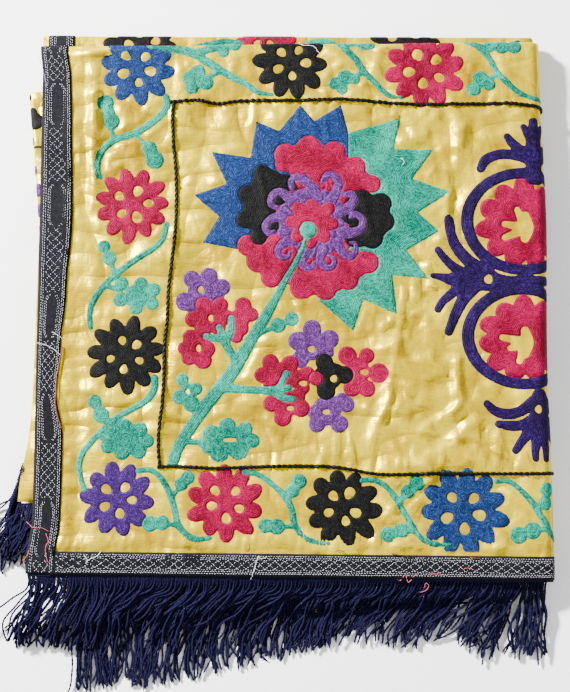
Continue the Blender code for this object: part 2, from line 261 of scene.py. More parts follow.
# %% Helpers for nodes
class Finish:
    """A material with its nodes, built a few at a time."""

    def __init__(self, name, roughness, specular, sheen=0.0, metallic=0.0):
        self.material = bpy.data.materials.new(name)
        self.material.use_nodes = True
        self.nodes = self.material.node_tree.nodes
        self.links = self.material.node_tree.links
        self.shader = self.nodes["Principled BSDF"]
        self.shader.inputs["Roughness"].default_value = roughness
        self.shader.inputs["Specular IOR Level"].default_value = specular
        self.shader.inputs["Sheen Weight"].default_value = sheen
        self.shader.inputs["Metallic"].default_value = metallic

    def add(self, kind, **values):
        """Add one node and set its properties."""
        node = self.nodes.new(kind)
        for name, value in values.items():
            setattr(node, name, value)
        return node

    def feed(self, node, **sources):
        """Set or link inputs of a node by name."""
        for name, source in sources.items():
            socket = node.inputs[name.replace("_", " ")]
            if isinstance(source, bpy.types.NodeSocket):
                self.links.new(source, socket)
            else:
                socket.default_value = source
        return node

    def flat_map(self, across=1.0, up=1.0, turn=0.0):
        """Read the flat map, stretched and turned."""
        uv = self.add("ShaderNodeUVMap", uv_map="flat")
        mapping = self.add("ShaderNodeMapping")
        self.links.new(uv.outputs["UV"], mapping.inputs["Vector"])
        mapping.inputs["Scale"].default_value = (across, up, 1.0)
        mapping.inputs["Rotation"].default_value = (0.0, 0.0, turn)
        return mapping.outputs["Vector"]

    def noise(self, vector, scale, detail=2.0, roughness=0.5):
        """Add a noise and give its value."""
        node = self.add("ShaderNodeTexNoise")
        self.feed(node, Vector=vector, Scale=scale, Detail=detail, Roughness=roughness)
        return node.outputs["Fac"]

    def ramp(self, value, *stops):
        """Turn a value into colours."""
        node = self.add("ShaderNodeValToRGB")
        self.links.new(value, node.inputs["Fac"])
        bar = node.color_ramp
        while len(bar.elements) < len(stops):
            bar.elements.new(1.0)
        for element, (place, colour) in zip(bar.elements, stops):
            element.position = place
            element.color = (*colour, 1.0)
        return node.outputs["Color"]

    def mix(self, kind, share, first, second):
        """Mix two colours."""
        node = self.add("ShaderNodeMix", data_type="RGBA", blend_type=kind)
        for socket, source in ((node.inputs[0], share), (node.inputs[6], first), (node.inputs[7], second)):
            if isinstance(source, bpy.types.NodeSocket):
                self.links.new(source, socket)
            else:
                socket.default_value = source if isinstance(source, float) else (*source, 1.0)
        return node.outputs[2]

    def math(self, kind, first, second):
        """Combine two values."""
        node = self.add("ShaderNodeMath", operation=kind)
        for socket, source in zip(node.inputs, (first, second)):
            if isinstance(source, bpy.types.NodeSocket):
                self.links.new(source, socket)
            else:
                socket.default_value = source
        return node.outputs[0]

    def fold_lines(self, vector, height):
        """Give a height that meets in sharp valleys along winding lines."""
        level = self.math("SUBTRACT", self.noise(vector, 1.0, 1.5, 0.45), 0.5)
        return self.math("MULTIPLY", self.math("ABSOLUTE", level, 0.0), height)

    def bump(self, height, strength, distance):
        """Bump the surface by a height."""
        node = self.add("ShaderNodeBump")
        self.feed(node, Height=height, Strength=strength, Distance=distance)
        self.links.new(node.outputs["Normal"], self.shader.inputs["Normal"])

    def colour(self, source):
        """Give the shader its colour."""
        self.links.new(source, self.shader.inputs["Base Color"])

    def roughness(self, source):
        """Give the shader an uneven roughness."""
        self.links.new(source, self.shader.inputs["Roughness"])


def linear(red, green, blue):
    """Turn a colour as it is seen on a screen, from 0 to 255, into the values that light needs."""
    shares = [part / 255 for part in (red, green, blue)]
    return tuple(s / 12.92 if s <= 0.04045 else ((s + 0.055) / 1.055) ** 2.4 for s in shares)


# %% Satin
# Satin floats its threads along one direction, so its streaks run along the cloth, and its gloss is soft.
def make_satin():
    """Build the gold satin: streaked, softly glossy and wrinkled, with painted shade darkening its colour along the
    wrinkles.
    """
    finish = Finish("satin_gold", 0.38, 0.02, metallic=0.50)
    streaks = finish.noise(finish.flat_map(90.0, 1600.0), 1.0, 3.0, 0.6)
    clouds = finish.noise(finish.flat_map(), 16.0, 4.0, 0.55)
    long_folds = finish.fold_lines(finish.flat_map(8.0, 24.0, 0.30), 1.5)
    cross_folds = finish.fold_lines(finish.flat_map(20.0, 7.5, -0.60), 1.2)
    small_folds = finish.fold_lines(finish.flat_map(52.0, 30.0, 0.9), 0.20)
    tone = finish.math("ADD", finish.math("MULTIPLY", streaks, 0.40), finish.math("MULTIPLY", clouds, 0.60))
    bright = finish.ramp(tone, (0.32, linear(168, 136, 0)), (0.52, linear(198, 172, 0)),
                         (0.70, linear(222, 200, 2)))
    folds = finish.math("ADD", finish.math("ADD", long_folds, cross_folds), small_folds)
    # Painted shade: the base colour is darkened in the valleys of the bumped folds, where shade would fall.
    painted_crease_shade = finish.ramp(folds, (0.02, (0.50, 0.36, 0.20)), (0.22, (1.0, 1.0, 1.0)))
    finish.colour(finish.mix("MULTIPLY", 0.55, bright, painted_crease_shade))
    finish.roughness(finish.math("ADD", finish.math("MULTIPLY", streaks, 0.16), 0.28))
    creases = finish.math("MULTIPLY", finish.noise(finish.flat_map(), 95.0, 5.0, 0.62), 0.07)
    weave = finish.math("MULTIPLY", finish.noise(finish.flat_map(40.0, 700.0), 1.0, 2.0, 0.5), 0.015)
    finish.bump(finish.math("ADD", finish.math("ADD", folds, creases), weave), 1.0, 0.013)
    return finish.material


satin = make_satin()

# %% [markdown]
# ## The embroidery, drawn flat
#
# The flowers, vines and rings are filled with rows of chain stitch in silk. Each colour is laid out on a
# fine net of places on the panel, where every place knows how far it lies from the nearest edge of that
# colour. Such a net joins leaves and stems without seams, rounds every notch as thread does, and tells the
# rows of stitches which way to run. The shapes are sums of simple ones: stems are strokes, leaves and
# petals are balls, and the big flower is a star. All places are in millimetres from the panel's middle.

# %% Shapes of the pattern: strokes are places with a width, and lobes are places with a radius
STEM_STROKES = [
    [(21, 70, 5.5), (19, 63, 5.5), (11, 42, 6.6), (0, 22, 7.7), (-8, 8, 8.8), (-24, -22, 12.1),
     (-43, -53, 14.3), (-60, -83, 15.4), (-78, -106, 15.4), (-95, -129, 14.3), (-116, -161, 13.2),
     (-124, -181, 13.2)],
    [(-67, -102, 11), (-42, -104, 8.8), (-18, -105, 9.9), (-11, -102, 8.8), (-3, -87, 6.6)],
    [(-18, -105, 9.9), (0, -102, 7.7)],
    [(-16, -106, 9.9), (-5, -113, 8.8), (4, -114, 7.7)],
    [(-57, -74, 9.9), (-65, -61, 9.9), (-71, -50, 9.9), (-81, -48, 8.8), (-90, -46, 7.7)],
    [(-70, -50, 9.9), (-76, -36, 7.7)],
    [(-69, -52, 9.9), (-63, -39, 8.8), (-63, -26, 7.7)],
    [(-42, -50, 6.6), (-29, -42, 5.5), (-12, -35, 5.5)],
    [(-136, 221, 8.8), (-135, 212, 8.8), (-143, 200, 8.8), (-157, 188, 8.8), (-172, 179, 8.8),
     (-190, 173, 8.8), (-203, 164, 8.8), (-209, 152, 7.7), (-211, 140, 7.7), (-208, 129, 6.6)],
    [(-194, 176, 6.6), (-197, 187, 5.5), (-200, 209, 4.4)],
    [(-170, 179, 4.4), (-161, 170, 4.4), (-153, 161, 4.4)],
    [(-134, 77, 7.7), (-137, 64, 7.7), (-145, 53, 7.7), (-163, 41, 7.7), (-180, 29, 7.7),
     (-193, 18, 7.7), (-204, 6, 7.7), (-213, -8, 7.7), (-216, -22, 6.6), (-215, -36, 6.6)],
    [(-191, 26, 6.6), (-196, 40, 5.5), (-202, 53, 4.4)],
    [(-197, 9, 6.6), (-184, 4, 5.5)],
    [(-145, -91, 8.8), (-145, -103, 8.8), (-152, -114, 8.8), (-165, -123, 7.7), (-182, -132, 7.7),
     (-193, -141, 7.7), (-204, -151, 7.7), (-213, -161, 7.7), (-221, -171, 7.7), (-225, -184, 7.7),
     (-223, -197, 6.6), (-219, -210, 6.6)],
    [(-190, -141, 6.6), (-200, -131, 5.5), (-208, -119, 5.5)],
    [(-205, -154, 5.5), (-192, -158, 5.5)],
    [(-161, -191, 6.6), (-149, -190, 6.6), (-139, -196, 6.6), (-130, -209, 7.7), (-125, -221, 7.7),
     (-121, -234, 7.7), (-118, -247, 7.7), (-110, -258, 7.7), (-98, -263, 6.6), (-84, -262, 5.5)],
    [(-125, -219, 5.5), (-114, -205, 5.5)],
    [(-118, -249, 5.5), (-135, -246, 4.4)],
    [(-48, -192, 6.6), (-33, -195, 6.6), (-18, -205, 6.6), (-4, -219, 7.7), (3, -232, 7.7),
     (6, -247, 7.7), (15, -260, 6.6), (32, -267, 6.6), (41, -267, 5.5)],
    [(-1, -221, 5.5), (8, -205, 5.5)],
    [(5, -250, 5.5), (-13, -250, 4.4)],
    [(78, -201, 6.6), (91, -201, 6.6), (104, -208, 6.6), (114, -221, 7.7), (122, -234, 7.7),
     (131, -249, 7.7), (139, -261, 6.6), (153, -268, 6.6), (171, -269, 5.5)],
    [(116, -224, 5.5), (131, -209, 5.5)],
    [(132, -255, 5.5), (118, -254, 4.4)],
    [(222, -202, 6.6), (234, -202, 6.6), (246, -210, 6.6), (259, -224, 7.7), (267, -237, 7.7),
     (275, -250, 7.7), (284, -262, 6.6), (300, -270, 6.6)],
    [(265, -234, 5.5), (275, -216, 5.5)],
    [(275, -253, 5.5), (259, -254, 4.4)],
    [(-155, 282, 9.9), (-140, 279, 9.9), (-122, 276, 11), (-108, 272, 11), (-96, 265, 9.9),
     (-80, 255, 9.9), (-64, 245, 8.8), (-47, 236, 7.7), (-34, 227, 6.6), (-19, 224, 4.4)],
    [(-108, 272, 8.8), (-92, 275, 8.8), (-75, 280, 8.8)],
    [(-80, 249, 6.6), (-94, 243, 5.5)],
    [(37, 294, 6.6), (54, 285, 7.7), (65, 274, 8.8), (75, 264, 8.8), (83, 251, 8.8), (94, 240, 7.7),
     (104, 229, 7.7), (115, 222, 5.5), (125, 221, 4.4)],
    [(57, 282, 6.6), (70, 283, 6.6), (86, 282, 7.7)],
    [(81, 249, 5.5), (68, 243, 5.5)],
    [(193, 287, 6.6), (205, 283, 7.7), (215, 276, 7.7), (224, 264, 7.7), (232, 249, 7.7),
     (244, 236, 7.7), (256, 226, 6.6), (270, 220, 5.5), (287, 219, 5.5)],
    [(215, 279, 6.6), (235, 280, 7.7), (251, 279, 7.7)],
    [(232, 247, 5.5), (217, 240, 5.5)],
    [(-93, -161, 6.6), (-108, -160, 6.6)],
    [(-99, -128, 5.5), (-103, -119, 6.6)],
]
VIOLET_STROKES = [
    [(215, 17, 26.4), (195, 17, 24.2), (177, 17, 14.3), (168, 19, 9.9), (157, 21, 6.6)],
    [(212, 25, 17.6), (197, 36, 14.3), (184, 51, 13.2), (178, 64, 12.1), (176, 77, 12.1),
     (175, 83, 11)],
    [(193, 22, 13.2), (179, 31, 11), (170, 40, 9.9), (163, 49, 8.8)],
    [(188, 11, 13.2), (177, 1, 11), (168, -7, 9.9), (162, -16, 8.8)],
    [(201, 9, 17.6), (189, -6, 14.3), (180, -24, 12.1), (173, -41, 9.9)],
    [(215, 17, 24.2), (233, 15, 14.3), (251, 15, 9.9), (282, 15, 9.9)],
    [(211, 140, 9.9), (216, 149, 12.1), (225, 154, 12.1), (236, 156, 12.1), (248, 155, 12.1),
     (260, 152, 13.2), (272, 145, 15.4)],
    [(241, 176, 8.8), (247, 168, 11), (256, 161, 11), (268, 155, 13.2)],
    [(259, 187, 7.7), (263, 179, 9.4), (267, 170, 9.9), (272, 161, 11)],
    [(272, 194, 6.6), (272, 184, 8.2), (274, 170, 9.9), (274, 159, 13.2)],
    [(267, 159, 13.2), (270, 145, 15.4), (273, 129, 15.4)],
    [(213, -119, 8.8), (222, -127, 11), (235, -130, 12.1), (249, -127, 12.1), (263, -117, 14.3)],
    [(225, -141, 8.8), (237, -143, 11), (250, -142, 12.1), (262, -137, 14.3)],
    [(243, -169, 8.8), (250, -159, 11), (258, -149, 13.2)],
    [(264, -178, 7.7), (264, -167, 9.9), (266, -154, 12.1), (267, -141, 14.3)],
    [(268, -110, 13.2), (267, -126, 15.4), (267, -141, 15.4)],
]
SCROLL_STROKES = [
    [(32, 109, 14.3), (25, 120, 12.1), (15, 127, 9.9), (8, 131, 8.8), (2, 126, 7.7), (3, 118, 6.6)],
    [(47, 105, 14.3), (53, 116, 12.1), (54, 126, 9.9), (48, 133, 8.8), (41, 132, 7.7), (36, 124, 5.5)],
    [(8, 98, 14.3), (-1, 108, 12.1), (-11, 114, 9.9), (-19, 109, 8.8), (-20, 100, 7.7), (-14, 96, 5.5)],
    [(1, 80, 14.3), (-9, 86, 12.1), (-20, 83, 9.9), (-26, 76, 8.8), (-23, 68, 7.7), (-16, 69, 5.5)],
    [(5, 60, 14.3), (-4, 57, 12.1), (-12, 49, 8.8), (-9, 41, 7.7), (-1, 41, 6.6), (1, 48, 4.4)],
    [(20, 49, 13.2), (15, 40, 11), (16, 31, 8.8), (24, 29, 7.7), (28, 35, 5.5)],
    [(38, 50, 13.2), (34, 40, 11), (38, 30, 8.8), (47, 30, 7.7), (50, 38, 6.6), (45, 42, 4.4)],
    [(53, 57, 13.2), (59, 46, 11), (67, 41, 8.8), (73, 48, 7.7), (72, 56, 5.5), (67, 57, 4.4)],
    [(58, 69, 14.3), (69, 68, 12.1), (79, 73, 9.9), (80, 83, 8.8), (72, 89, 7.7), (67, 85, 5.5)],
    [(54, 91, 14.3), (65, 96, 12.1), (71, 105, 9.9), (68, 111, 8.8), (61, 111, 6.6)],
]
STEM_LOBES = [
    (21, 71, 9.9), (-12, -34, 8.8), (3, -27, 8.2), (-3, -87, 4.4), (-203, 214, 9.9), (-199, 203, 7.7),
    (-196, 193, 9.9), (-154, 163, 8.8), (-148, 150, 10.5), (-151, 156, 7.7), (-202, 53, 7.2),
    (-196, 40, 8.2), (-182, 12, 7.7), (-161, 11, 8.2), (-147, 5, 7.7), (-149, -10, 7.7),
    (-166, -15, 7.7), (-183, -6, 8.2), (-166, -2, 13.2), (-209, -117, 8.2), (-202, -131, 9.4),
    (-191, -146, 8.8), (-176, -144, 8.8), (-160, -147, 8.8), (-152, -159, 7.7), (-161, -170, 8.8),
    (-179, -171, 8.8), (-194, -164, 8.8), (-175, -158, 15.4), (-115, -205, 7.7), (-108, -198, 7.7),
    (-148, -247, 8.8), (-135, -246, 8.2), (11, -202, 8.2), (4, -212, 7.7), (-25, -249, 8.2),
    (-13, -250, 8.8), (136, -204, 8.8), (126, -213, 7.7), (105, -258, 8.8), (119, -254, 8.2),
    (276, -211, 8.2), (274, -225, 7.7), (244, -259, 9.4), (259, -254, 9.4), (-110, 243, 8.8),
    (-101, 250, 8.8), (-92, 238, 8.8), (-108, 232, 7.7), (-88, 280, 6.6), (-73, 282, 8.8),
    (-60, 282, 7.7), (-73, 273, 6.6), (51, 237, 7.7), (63, 244, 9.4), (59, 230, 6.6), (73, 242, 6.6),
    (70, 286, 6.6), (83, 282, 7.2), (91, 281, 5.5), (213, 242, 9.4), (205, 230, 8.2), (222, 236, 7.7),
    (224, 280, 7.2), (237, 279, 8.2), (251, 279, 8.2), (-115, -93, 7.2), (-100, -103, 7.2),
    (-118, -112, 8.2), (-105, -119, 9.4), (-109, -106, 8.8), (-83, -152, 10.5), (-66, -143, 9.4),
    (-47, -146, 8.2), (-39, -159, 8.2), (-54, -169, 11), (-75, -171, 11), (-87, -163, 9.4),
    (-63, -158, 15.4),
]
NIGHT_LOBES = [
    (-29, 134, 11), (-45, 111, 11), (-48, 83, 10.5), (-33, 64, 9.9), (-19, 127, 12.1), (-30, 99, 17.6),
    (-4, 124, 9.9), (-25, 78, 14.3), (-12, 109, 11), (101, 101, 12.1), (104, 81, 12.1), (91, 62, 12.1),
    (80, 105, 12.1), (84, 82, 17.6), (73, 64, 13.2), (68, 89, 12.1), (38, -74, 9.9), (35, -91, 11),
    (60, -88, 9.9), (50, -85, 9.9), (40, -105, 10.5), (40, -92, 13.2),
]
LOBES_LOBES = [
    (-4, 156, 12.7), (22, 163, 14.3), (50, 158, 13.2), (73, 142, 12.1), (91, 123, 10.5),
    (32, 143, 16.5), (9, 143, 12.1), (58, 129, 15.4), (74, 122, 9.9), (32, 122, 8.8), (-6, 146, 9.9),
    (-45, 54, 12.1), (-34, 37, 13.2), (-19, 19, 12.1), (-23, 47, 18.7), (-5, 36, 16.5), (-7, 19, 8.8),
    (14, 8, 13.8), (40, 5, 12.1), (64, 16, 12.1), (86, 35, 12.7), (36, 25, 18.7), (61, 35, 15.4),
    (17, 27, 13.2), (50, 16, 13.2), (-93, -12, 9.4), (-75, -12, 9.4), (-67, -25, 8.2), (-104, -27, 9.4),
    (-93, -38, 9.4), (-77, -36, 8.8), (-85, -25, 13.2), (-50, -12, 9.4), (-41, -22, 8.2),
    (-52, -37, 8.8), (-57, -46, 7.7), (-53, -26, 11), (-107, -47, 8.8), (-113, -59, 7.7),
    (-108, -69, 8.8), (-93, -72, 9.9), (-88, -60, 8.8), (-93, -49, 7.7), (-98, -59, 12.1),
    (-20, -74, 9.4), (1, -76, 9.9), (-29, -88, 8.8), (19, -88, 9.9), (-21, -100, 7.7), (-7, -90, 15.4),
    (10, -93, 9.9), (15, -102, 7.7), (-19, -119, 9.4), (-7, -134, 9.9), (13, -124, 9.9), (9, -111, 8.8),
    (-3, -119, 14.3), (63, -67, 10.5), (84, -67, 8.8), (97, -86, 11), (84, -103, 9.4), (68, -102, 9.9),
    (73, -84, 14.3),
]
PETALS_LOBES = [
    (-106, 17, 9.4), (-87, 20, 9.9), (-73, 8, 9.4), (-79, -4, 8.8), (-113, -8, 10.5), (-102, -16, 8.8),
    (-96, 4, 14.3), (25, -38, 10.5), (9, -51, 10.5), (44, -49, 10.5), (12, -71, 9.9), (39, -63, 9.9),
    (25, -57, 15.4), (57, -117, 9.9), (40, -133, 9.9), (30, -141, 9.4), (54, -141, 9.9),
    (62, -120, 8.8), (41, -125, 15.4), (27, -128, 7.7),
]
SKY_STAR = [
    (66, 181), (58, 213), (28, 194), (13, 213), (-11, 183), (-36, 194), (-43, 153), (-86, 160),
    (-69, 123), (-105, 111), (-77, 86), (-95, 57), (-54, 49), (1, 71), (45, 93), (66, 138),
]
LEAF_STAR = [
    (66, 181), (124, 198), (116, 162), (160, 162), (136, 129), (178, 114), (142, 91), (165, 70),
    (129, 49), (153, 17), (113, 21), (118, -23), (81, -6), (70, -41), (31, -6), (56, 49), (61, 105),
]
EYES = [
    (-96, 5, 2.9, 3.7), (-85, -26, 2.4, 3.5), (-98, -59, 2.4, 3.7), (24, -60, 3.7, 3.3),
    (15, -97, 4.4, 2.6), (1, -124, 3.7, 2.4), (48, -92, 3.7, 3.7), (81, -85, 4.4, 2.9),
    (40, -128, 4, 2.4), (217, 17, 4.4, 4.8), (268, -125, 3.7, 4.2), (-109, -106, 2, 2.6),
    (-64, -158, 7.7, 1.8),
]
BORDER_FLOWERS = [
    ("sky", -169, 255, 43, 10, 8), ("lobes", -172, 100, 42, 11, 20), ("night", -176, -66, 43, 11, -5),
    ("plum", -183, -221, 41, 10, 12), ("lobes", -68, -225, 42, 10, 3), ("night", 57, -229, 42, 10, 10),
    ("sky", 186, -233, 48, 11, 2), ("night", 2, 261, 42, 10, 14), ("lobes", 151, 253, 45, 10, -8),
]
LOBES_FILLS = [
    [(-14, 152), (3, 166), (23, 170), (50, 164), (74, 147), (96, 127), (97, 114), (61, 113), (52, 129),
     (36, 132), (30, 116), (19, 134), (3, 138), (-12, 138)],
    [(-47, 62), (-23, 67), (3, 60), (14, 42), (36, 36), (62, 42), (82, 49), (98, 40), (90, 27),
     (68, 11), (45, 0), (16, -2), (1, 11), (-19, 11), (-38, 29)],
]
NIGHT_FILLS = [
    [(-36, 138), (-21, 136), (3, 132), (12, 116), (-5, 114), (-19, 91), (-10, 73), (-27, 60),
     (-49, 76), (-52, 105)],
    [(63, 111), (98, 111), (111, 93), (108, 69), (93, 53), (69, 53), (62, 69), (73, 87), (62, 98)],
    [(31, -83), (44, -72), (64, -85), (53, -100), (42, -109), (31, -98)],
]

print(len(BORDER_FLOWERS), "border flowers,", len(STEM_STROKES), "stems")

# %% A net that knows the distance to each edge
FAR = 60.0
CUT_REACH = 4.0


class Net:
    """A net of places on the panel that holds, for each layer of thread, the distance to its edge."""

    def __init__(self, left, right, bottom, top, cell):
        self.cell = cell
        self.xs = np.arange(left, right, cell)
        self.ys = np.arange(bottom, top, cell)
        self.x, self.y = np.meshgrid(self.xs, self.ys)
        self.layers = {}

    def near(self, x0, x1, y0, y1, reach=10.0):
        """Give the part of the net round a box."""
        i0, i1 = np.searchsorted(self.xs, (x0 - reach, x1 + reach))
        j0, j1 = np.searchsorted(self.ys, (y0 - reach, y1 + reach))
        return slice(j0, j1), slice(i0, i1)

    def join(self, layer, part, distance, soft=2.2):
        """Add a shape to a layer, with a soft fillet where it meets the others."""
        if layer not in self.layers:
            self.layers[layer] = np.full(self.x.shape, FAR)
        old = self.layers[layer][part]
        blend = np.clip(0.5 + 0.5 * (old - distance) / soft, 0.0, 1.0)
        self.layers[layer][part] = old + (distance - old) * blend - soft * blend * (1 - blend)

    def cut_outline(self, corners):
        """Cut the inside of an outline out of every layer."""
        low, high = corners.min(0), corners.max(0)
        part = self.near(low[0], high[0], low[1], high[1], CUT_REACH)
        distance = outline_distance(self.x[part], self.y[part], corners)
        for field in self.layers.values():
            field[part] = np.maximum(field[part], -distance)

    def ball(self, layer, x, y, radius):
        """Add a round lobe."""
        part = self.near(x - radius, x + radius, y - radius, y + radius)
        self.join(layer, part, np.hypot(self.x[part] - x, self.y[part] - y) - radius)

    def stroke(self, layer, places):
        """Add a stroke whose width changes from place to place."""
        line = smooth_stroke(places)
        part = self.near(line[:, 0].min(), line[:, 0].max(), line[:, 1].min(), line[:, 1].max(), 16.0)
        least = np.full(self.x[part].shape, FAR)
        for (ax, ay, aw), (bx, by, bw) in zip(line, line[1:]):
            x, y = self.x[part] - ax, self.y[part] - ay
            run = (bx - ax) ** 2 + (by - ay) ** 2
            share = np.clip((x * (bx - ax) + y * (by - ay)) / run, 0.0, 1.0)
            gap = np.hypot(x - share * (bx - ax), y - share * (by - ay))
            least = np.minimum(least, gap - (aw + (bw - aw) * share) / 2)
        self.join(layer, part, least)

    def outline(self, layer, corners):
        """Add the inside of an outline."""
        corners = np.asarray(corners, float)
        low, high = corners.min(0), corners.max(0)
        part = self.near(low[0], high[0], low[1], high[1])
        self.join(layer, part, outline_distance(self.x[part], self.y[part], corners))


def smooth_stroke(places):
    """Round the turns of a stroke by adding places between the given ones."""
    rows = np.asarray(places, float)
    if len(rows) < 3:
        return rows
    padded = np.concatenate([[2 * rows[0] - rows[1]], rows, [2 * rows[-1] - rows[-2]]])
    made = []
    for a, b, c, d in zip(padded, padded[1:], padded[2:], padded[3:]):
        for t in (0.0, 0.25, 0.5, 0.75):
            made.append(0.5 * (2 * b + (c - a) * t + (2 * a - 5 * b + 4 * c - d) * t ** 2
                               + (3 * b - a - 3 * c + d) * t ** 3))
    return np.array([*made, rows[-1]])


def outline_distance(x, y, corners):
    """Give the distance to an outline, negative inside it."""
    least = np.full(x.shape, FAR)
    inside = np.zeros(x.shape, bool)
    for (ax, ay), (bx, by) in zip(corners, np.roll(corners, -1, axis=0)):
        run = (bx - ax) ** 2 + (by - ay) ** 2
        share = np.clip(((x - ax) * (bx - ax) + (y - ay) * (by - ay)) / run, 0.0, 1.0)
        least = np.minimum(least, np.hypot(x - ax - share * (bx - ax), y - ay - share * (by - ay)))
        crosses = (ay > y) != (by > y)
        slope = (bx - ax) / (by - ay) if by != ay else 0.0
        inside ^= crosses & (x < ax + (y - ay) * slope)
    return np.where(inside, -least, least)


# %% A scalloped flower with its seeds
NOTCH = 0.30
SEED_PLACE = 0.37
SEED_SIZE = 0.100
SEED_STRETCH = 1.25


def flower_outline(x, y, radius, petals, turn, dice, notch=NOTCH):
    """Give the outline of a flower whose petals differ a little from each other."""
    sizes = 1.0 + dice.normal(0.0, 0.035, petals)
    shifts = dice.normal(0.0, 0.05, petals)
    fullness = dice.uniform(0.60, 0.95, petals)
    corners = []
    for petal in range(petals):
        for share in np.linspace(0.0, 1.0, 10, endpoint=False):
            angle = 2 * math.pi * (petal + share + shifts[petal] * math.sin(math.pi * share)) / petals
            bulge = math.sin(math.pi * share) ** fullness[petal]
            reach = radius * (1 - notch + notch * bulge) * (1 + (sizes[petal] - 1) * bulge)
            corners.append((x + reach * math.cos(angle + math.radians(turn)),
                            y + reach * math.sin(angle + math.radians(turn))))
    return corners


def seed_outline(x, y, long, wide, turn):
    """Give an egg-shaped outline that is pointed towards the flower's middle."""
    corners = []
    for angle in np.linspace(0.0, 2 * math.pi, 16, endpoint=False):
        along, beside = long * math.cos(angle), wide * math.sin(angle) * (1 + 0.25 * math.cos(angle))
        corners.append((x + along * math.cos(turn) - beside * math.sin(turn),
                        y + along * math.sin(turn) + beside * math.cos(turn)))
    return corners


def border_flower(net, layer, x, y, radius, petals, turn, dice):
    """Add a border flower and cut the bare seeds round its middle."""
    net.outline(layer, flower_outline(x, y, radius, petals, turn, dice))
    seeds = 4 if layer == "night" and dice.random() < 0.4 else 5
    cuts = []
    for seed in range(seeds):
        angle = 2 * math.pi * (seed + dice.normal(0.0, 0.07)) / seeds + math.radians(turn + 50)
        reach = radius * (SEED_PLACE + dice.normal(0.0, 0.02))
        size = radius * (SEED_SIZE + dice.normal(0.0, 0.010))
        middle = (x + reach * math.cos(angle), y + reach * math.sin(angle))
        cuts.append(np.array(seed_outline(*middle, size * SEED_STRETCH, size, angle)))
    return cuts


# %% Lay out the panel
THREADS = {"stem": "turquoise", "heart": "pink", "scroll": "lilac", "night": "black", "lobes": "pink",
           "petals": "lilac", "plum": "plum", "violet": "violet", "medallion": "pink", "disc": "lilac",
           "ground": "pink", "sky": "blue", "leaf": "turquoise"}
ROSETTE = (25, 79)
HEART_FLOWER = (30, 8, 20)
DISC_RADIUS = 40
GROUND_RADIUS = 50
SPRIG_HEART = (29, -92, 8)
RING_WIDTH = 12.5
MEDALLION_FLOWER = (11, 8)
MEDALLION_NOTCH = 0.21
MEDALLION_IN = (15, 9)
MEDALLIONS = [(257, 81, 69, 60, ((-8, 20), (-22, 4), (-22, -11))),
              (254, -46, 67, 58, ((-24, 6), (-16, -6), (-6, -20)))]
MIRROR = 270


def bare_hand(x, y, reaches):
    """Give the strokes of the small bare hand with three fingers in the middle of a medallion."""
    strokes = [[(x, y, 13), (x + a * 0.55, y + b * 0.62, 8), (x + a, y + b, 6)] for a, b in reaches]
    return strokes + [[(x + 1, y + 13, 9), (x + 3, y, 13), (x, y - 12, 9)]]


def lay_out_panel(net):
    """Put every shape of the top panel on the net."""
    dice = np.random.default_rng(3)
    for stroke in STEM_STROKES:
        net.stroke("stem", stroke)
    for x, y, radius in STEM_LOBES:
        net.ball("stem", x, y, radius)
    for layer, lobes in (("night", NIGHT_LOBES), ("lobes", LOBES_LOBES), ("petals", PETALS_LOBES)):
        for x, y, radius in lobes:
            net.ball(layer, x, y, radius)
    for layer, fills in (("lobes", LOBES_FILLS), ("night", NIGHT_FILLS)):
        for fill in fills:
            net.outline(layer, fill)
    net.outline("heart", flower_outline(*ROSETTE, *HEART_FLOWER, dice))
    net.ball("heart", *SPRIG_HEART)
    net.ball("disc", *ROSETTE, DISC_RADIUS)
    net.ball("ground", *ROSETTE, GROUND_RADIUS)
    for stroke in SCROLL_STROKES:
        net.stroke("scroll", stroke)
    net.outline("sky", SKY_STAR)
    net.outline("leaf", LEAF_STAR)
    for stroke in VIOLET_STROKES:
        net.stroke("violet", stroke)
        net.stroke("violet", [(2 * MIRROR - x, y, width) for x, y, width in stroke])
    cuts = []
    for x, y, wide, tall, reaches in MEDALLIONS:
        ring = np.hypot((net.x - x) / wide, (net.y - y) / tall) - 1
        net.join("violet", ..., np.abs(ring * tall + RING_WIDTH / 2) - RING_WIDTH / 2)
        flower = np.array(flower_outline(0, 0, 1.0, *MEDALLION_FLOWER, dice, MEDALLION_NOTCH))
        net.outline("medallion", flower * (wide - MEDALLION_IN[0], tall - MEDALLION_IN[1]) + (x + 1, y - 3))
        cuts += bare_hand(x + 1, y - 7, reaches)
    seeds = []
    for layer, x, y, radius, petals, turn in BORDER_FLOWERS:
        seeds += border_flower(net, layer, x, y, radius, petals, turn, dice)
    for corners in seeds + [np.array(seed_outline(x, y, wide, tall, 0.0)) for x, y, wide, tall in EYES]:
        net.cut_outline(corners)
    palms = Net(net.xs[0], net.xs[-1] + net.cell / 2, net.ys[0], net.ys[-1] + net.cell / 2, net.cell)
    for stroke in cuts:
        palms.stroke("palm", stroke)
    net.layers["medallion"] = np.maximum(net.layers["medallion"], -palms.layers["palm"])


def settle_layers(net, overlap=0.9):
    """Cut each layer back where another lies over it, leaving a narrow overlap."""
    above = np.full(net.x.shape, FAR)
    kept = {}
    for layer in THREADS:
        if layer in net.layers:
            kept[layer] = np.maximum(net.layers[layer], -(above + overlap))
            above = np.minimum(above, net.layers[layer])
    net.layers = kept
    net.stitched = above


panel_net = Net(-262.0, 346.0, -276.0, 316.0, 1.7)
lay_out_panel(panel_net)
settle_layers(panel_net)
share = (panel_net.stitched < 0).mean()
print("embroidery covers", round(100 * share), "% of the panel")


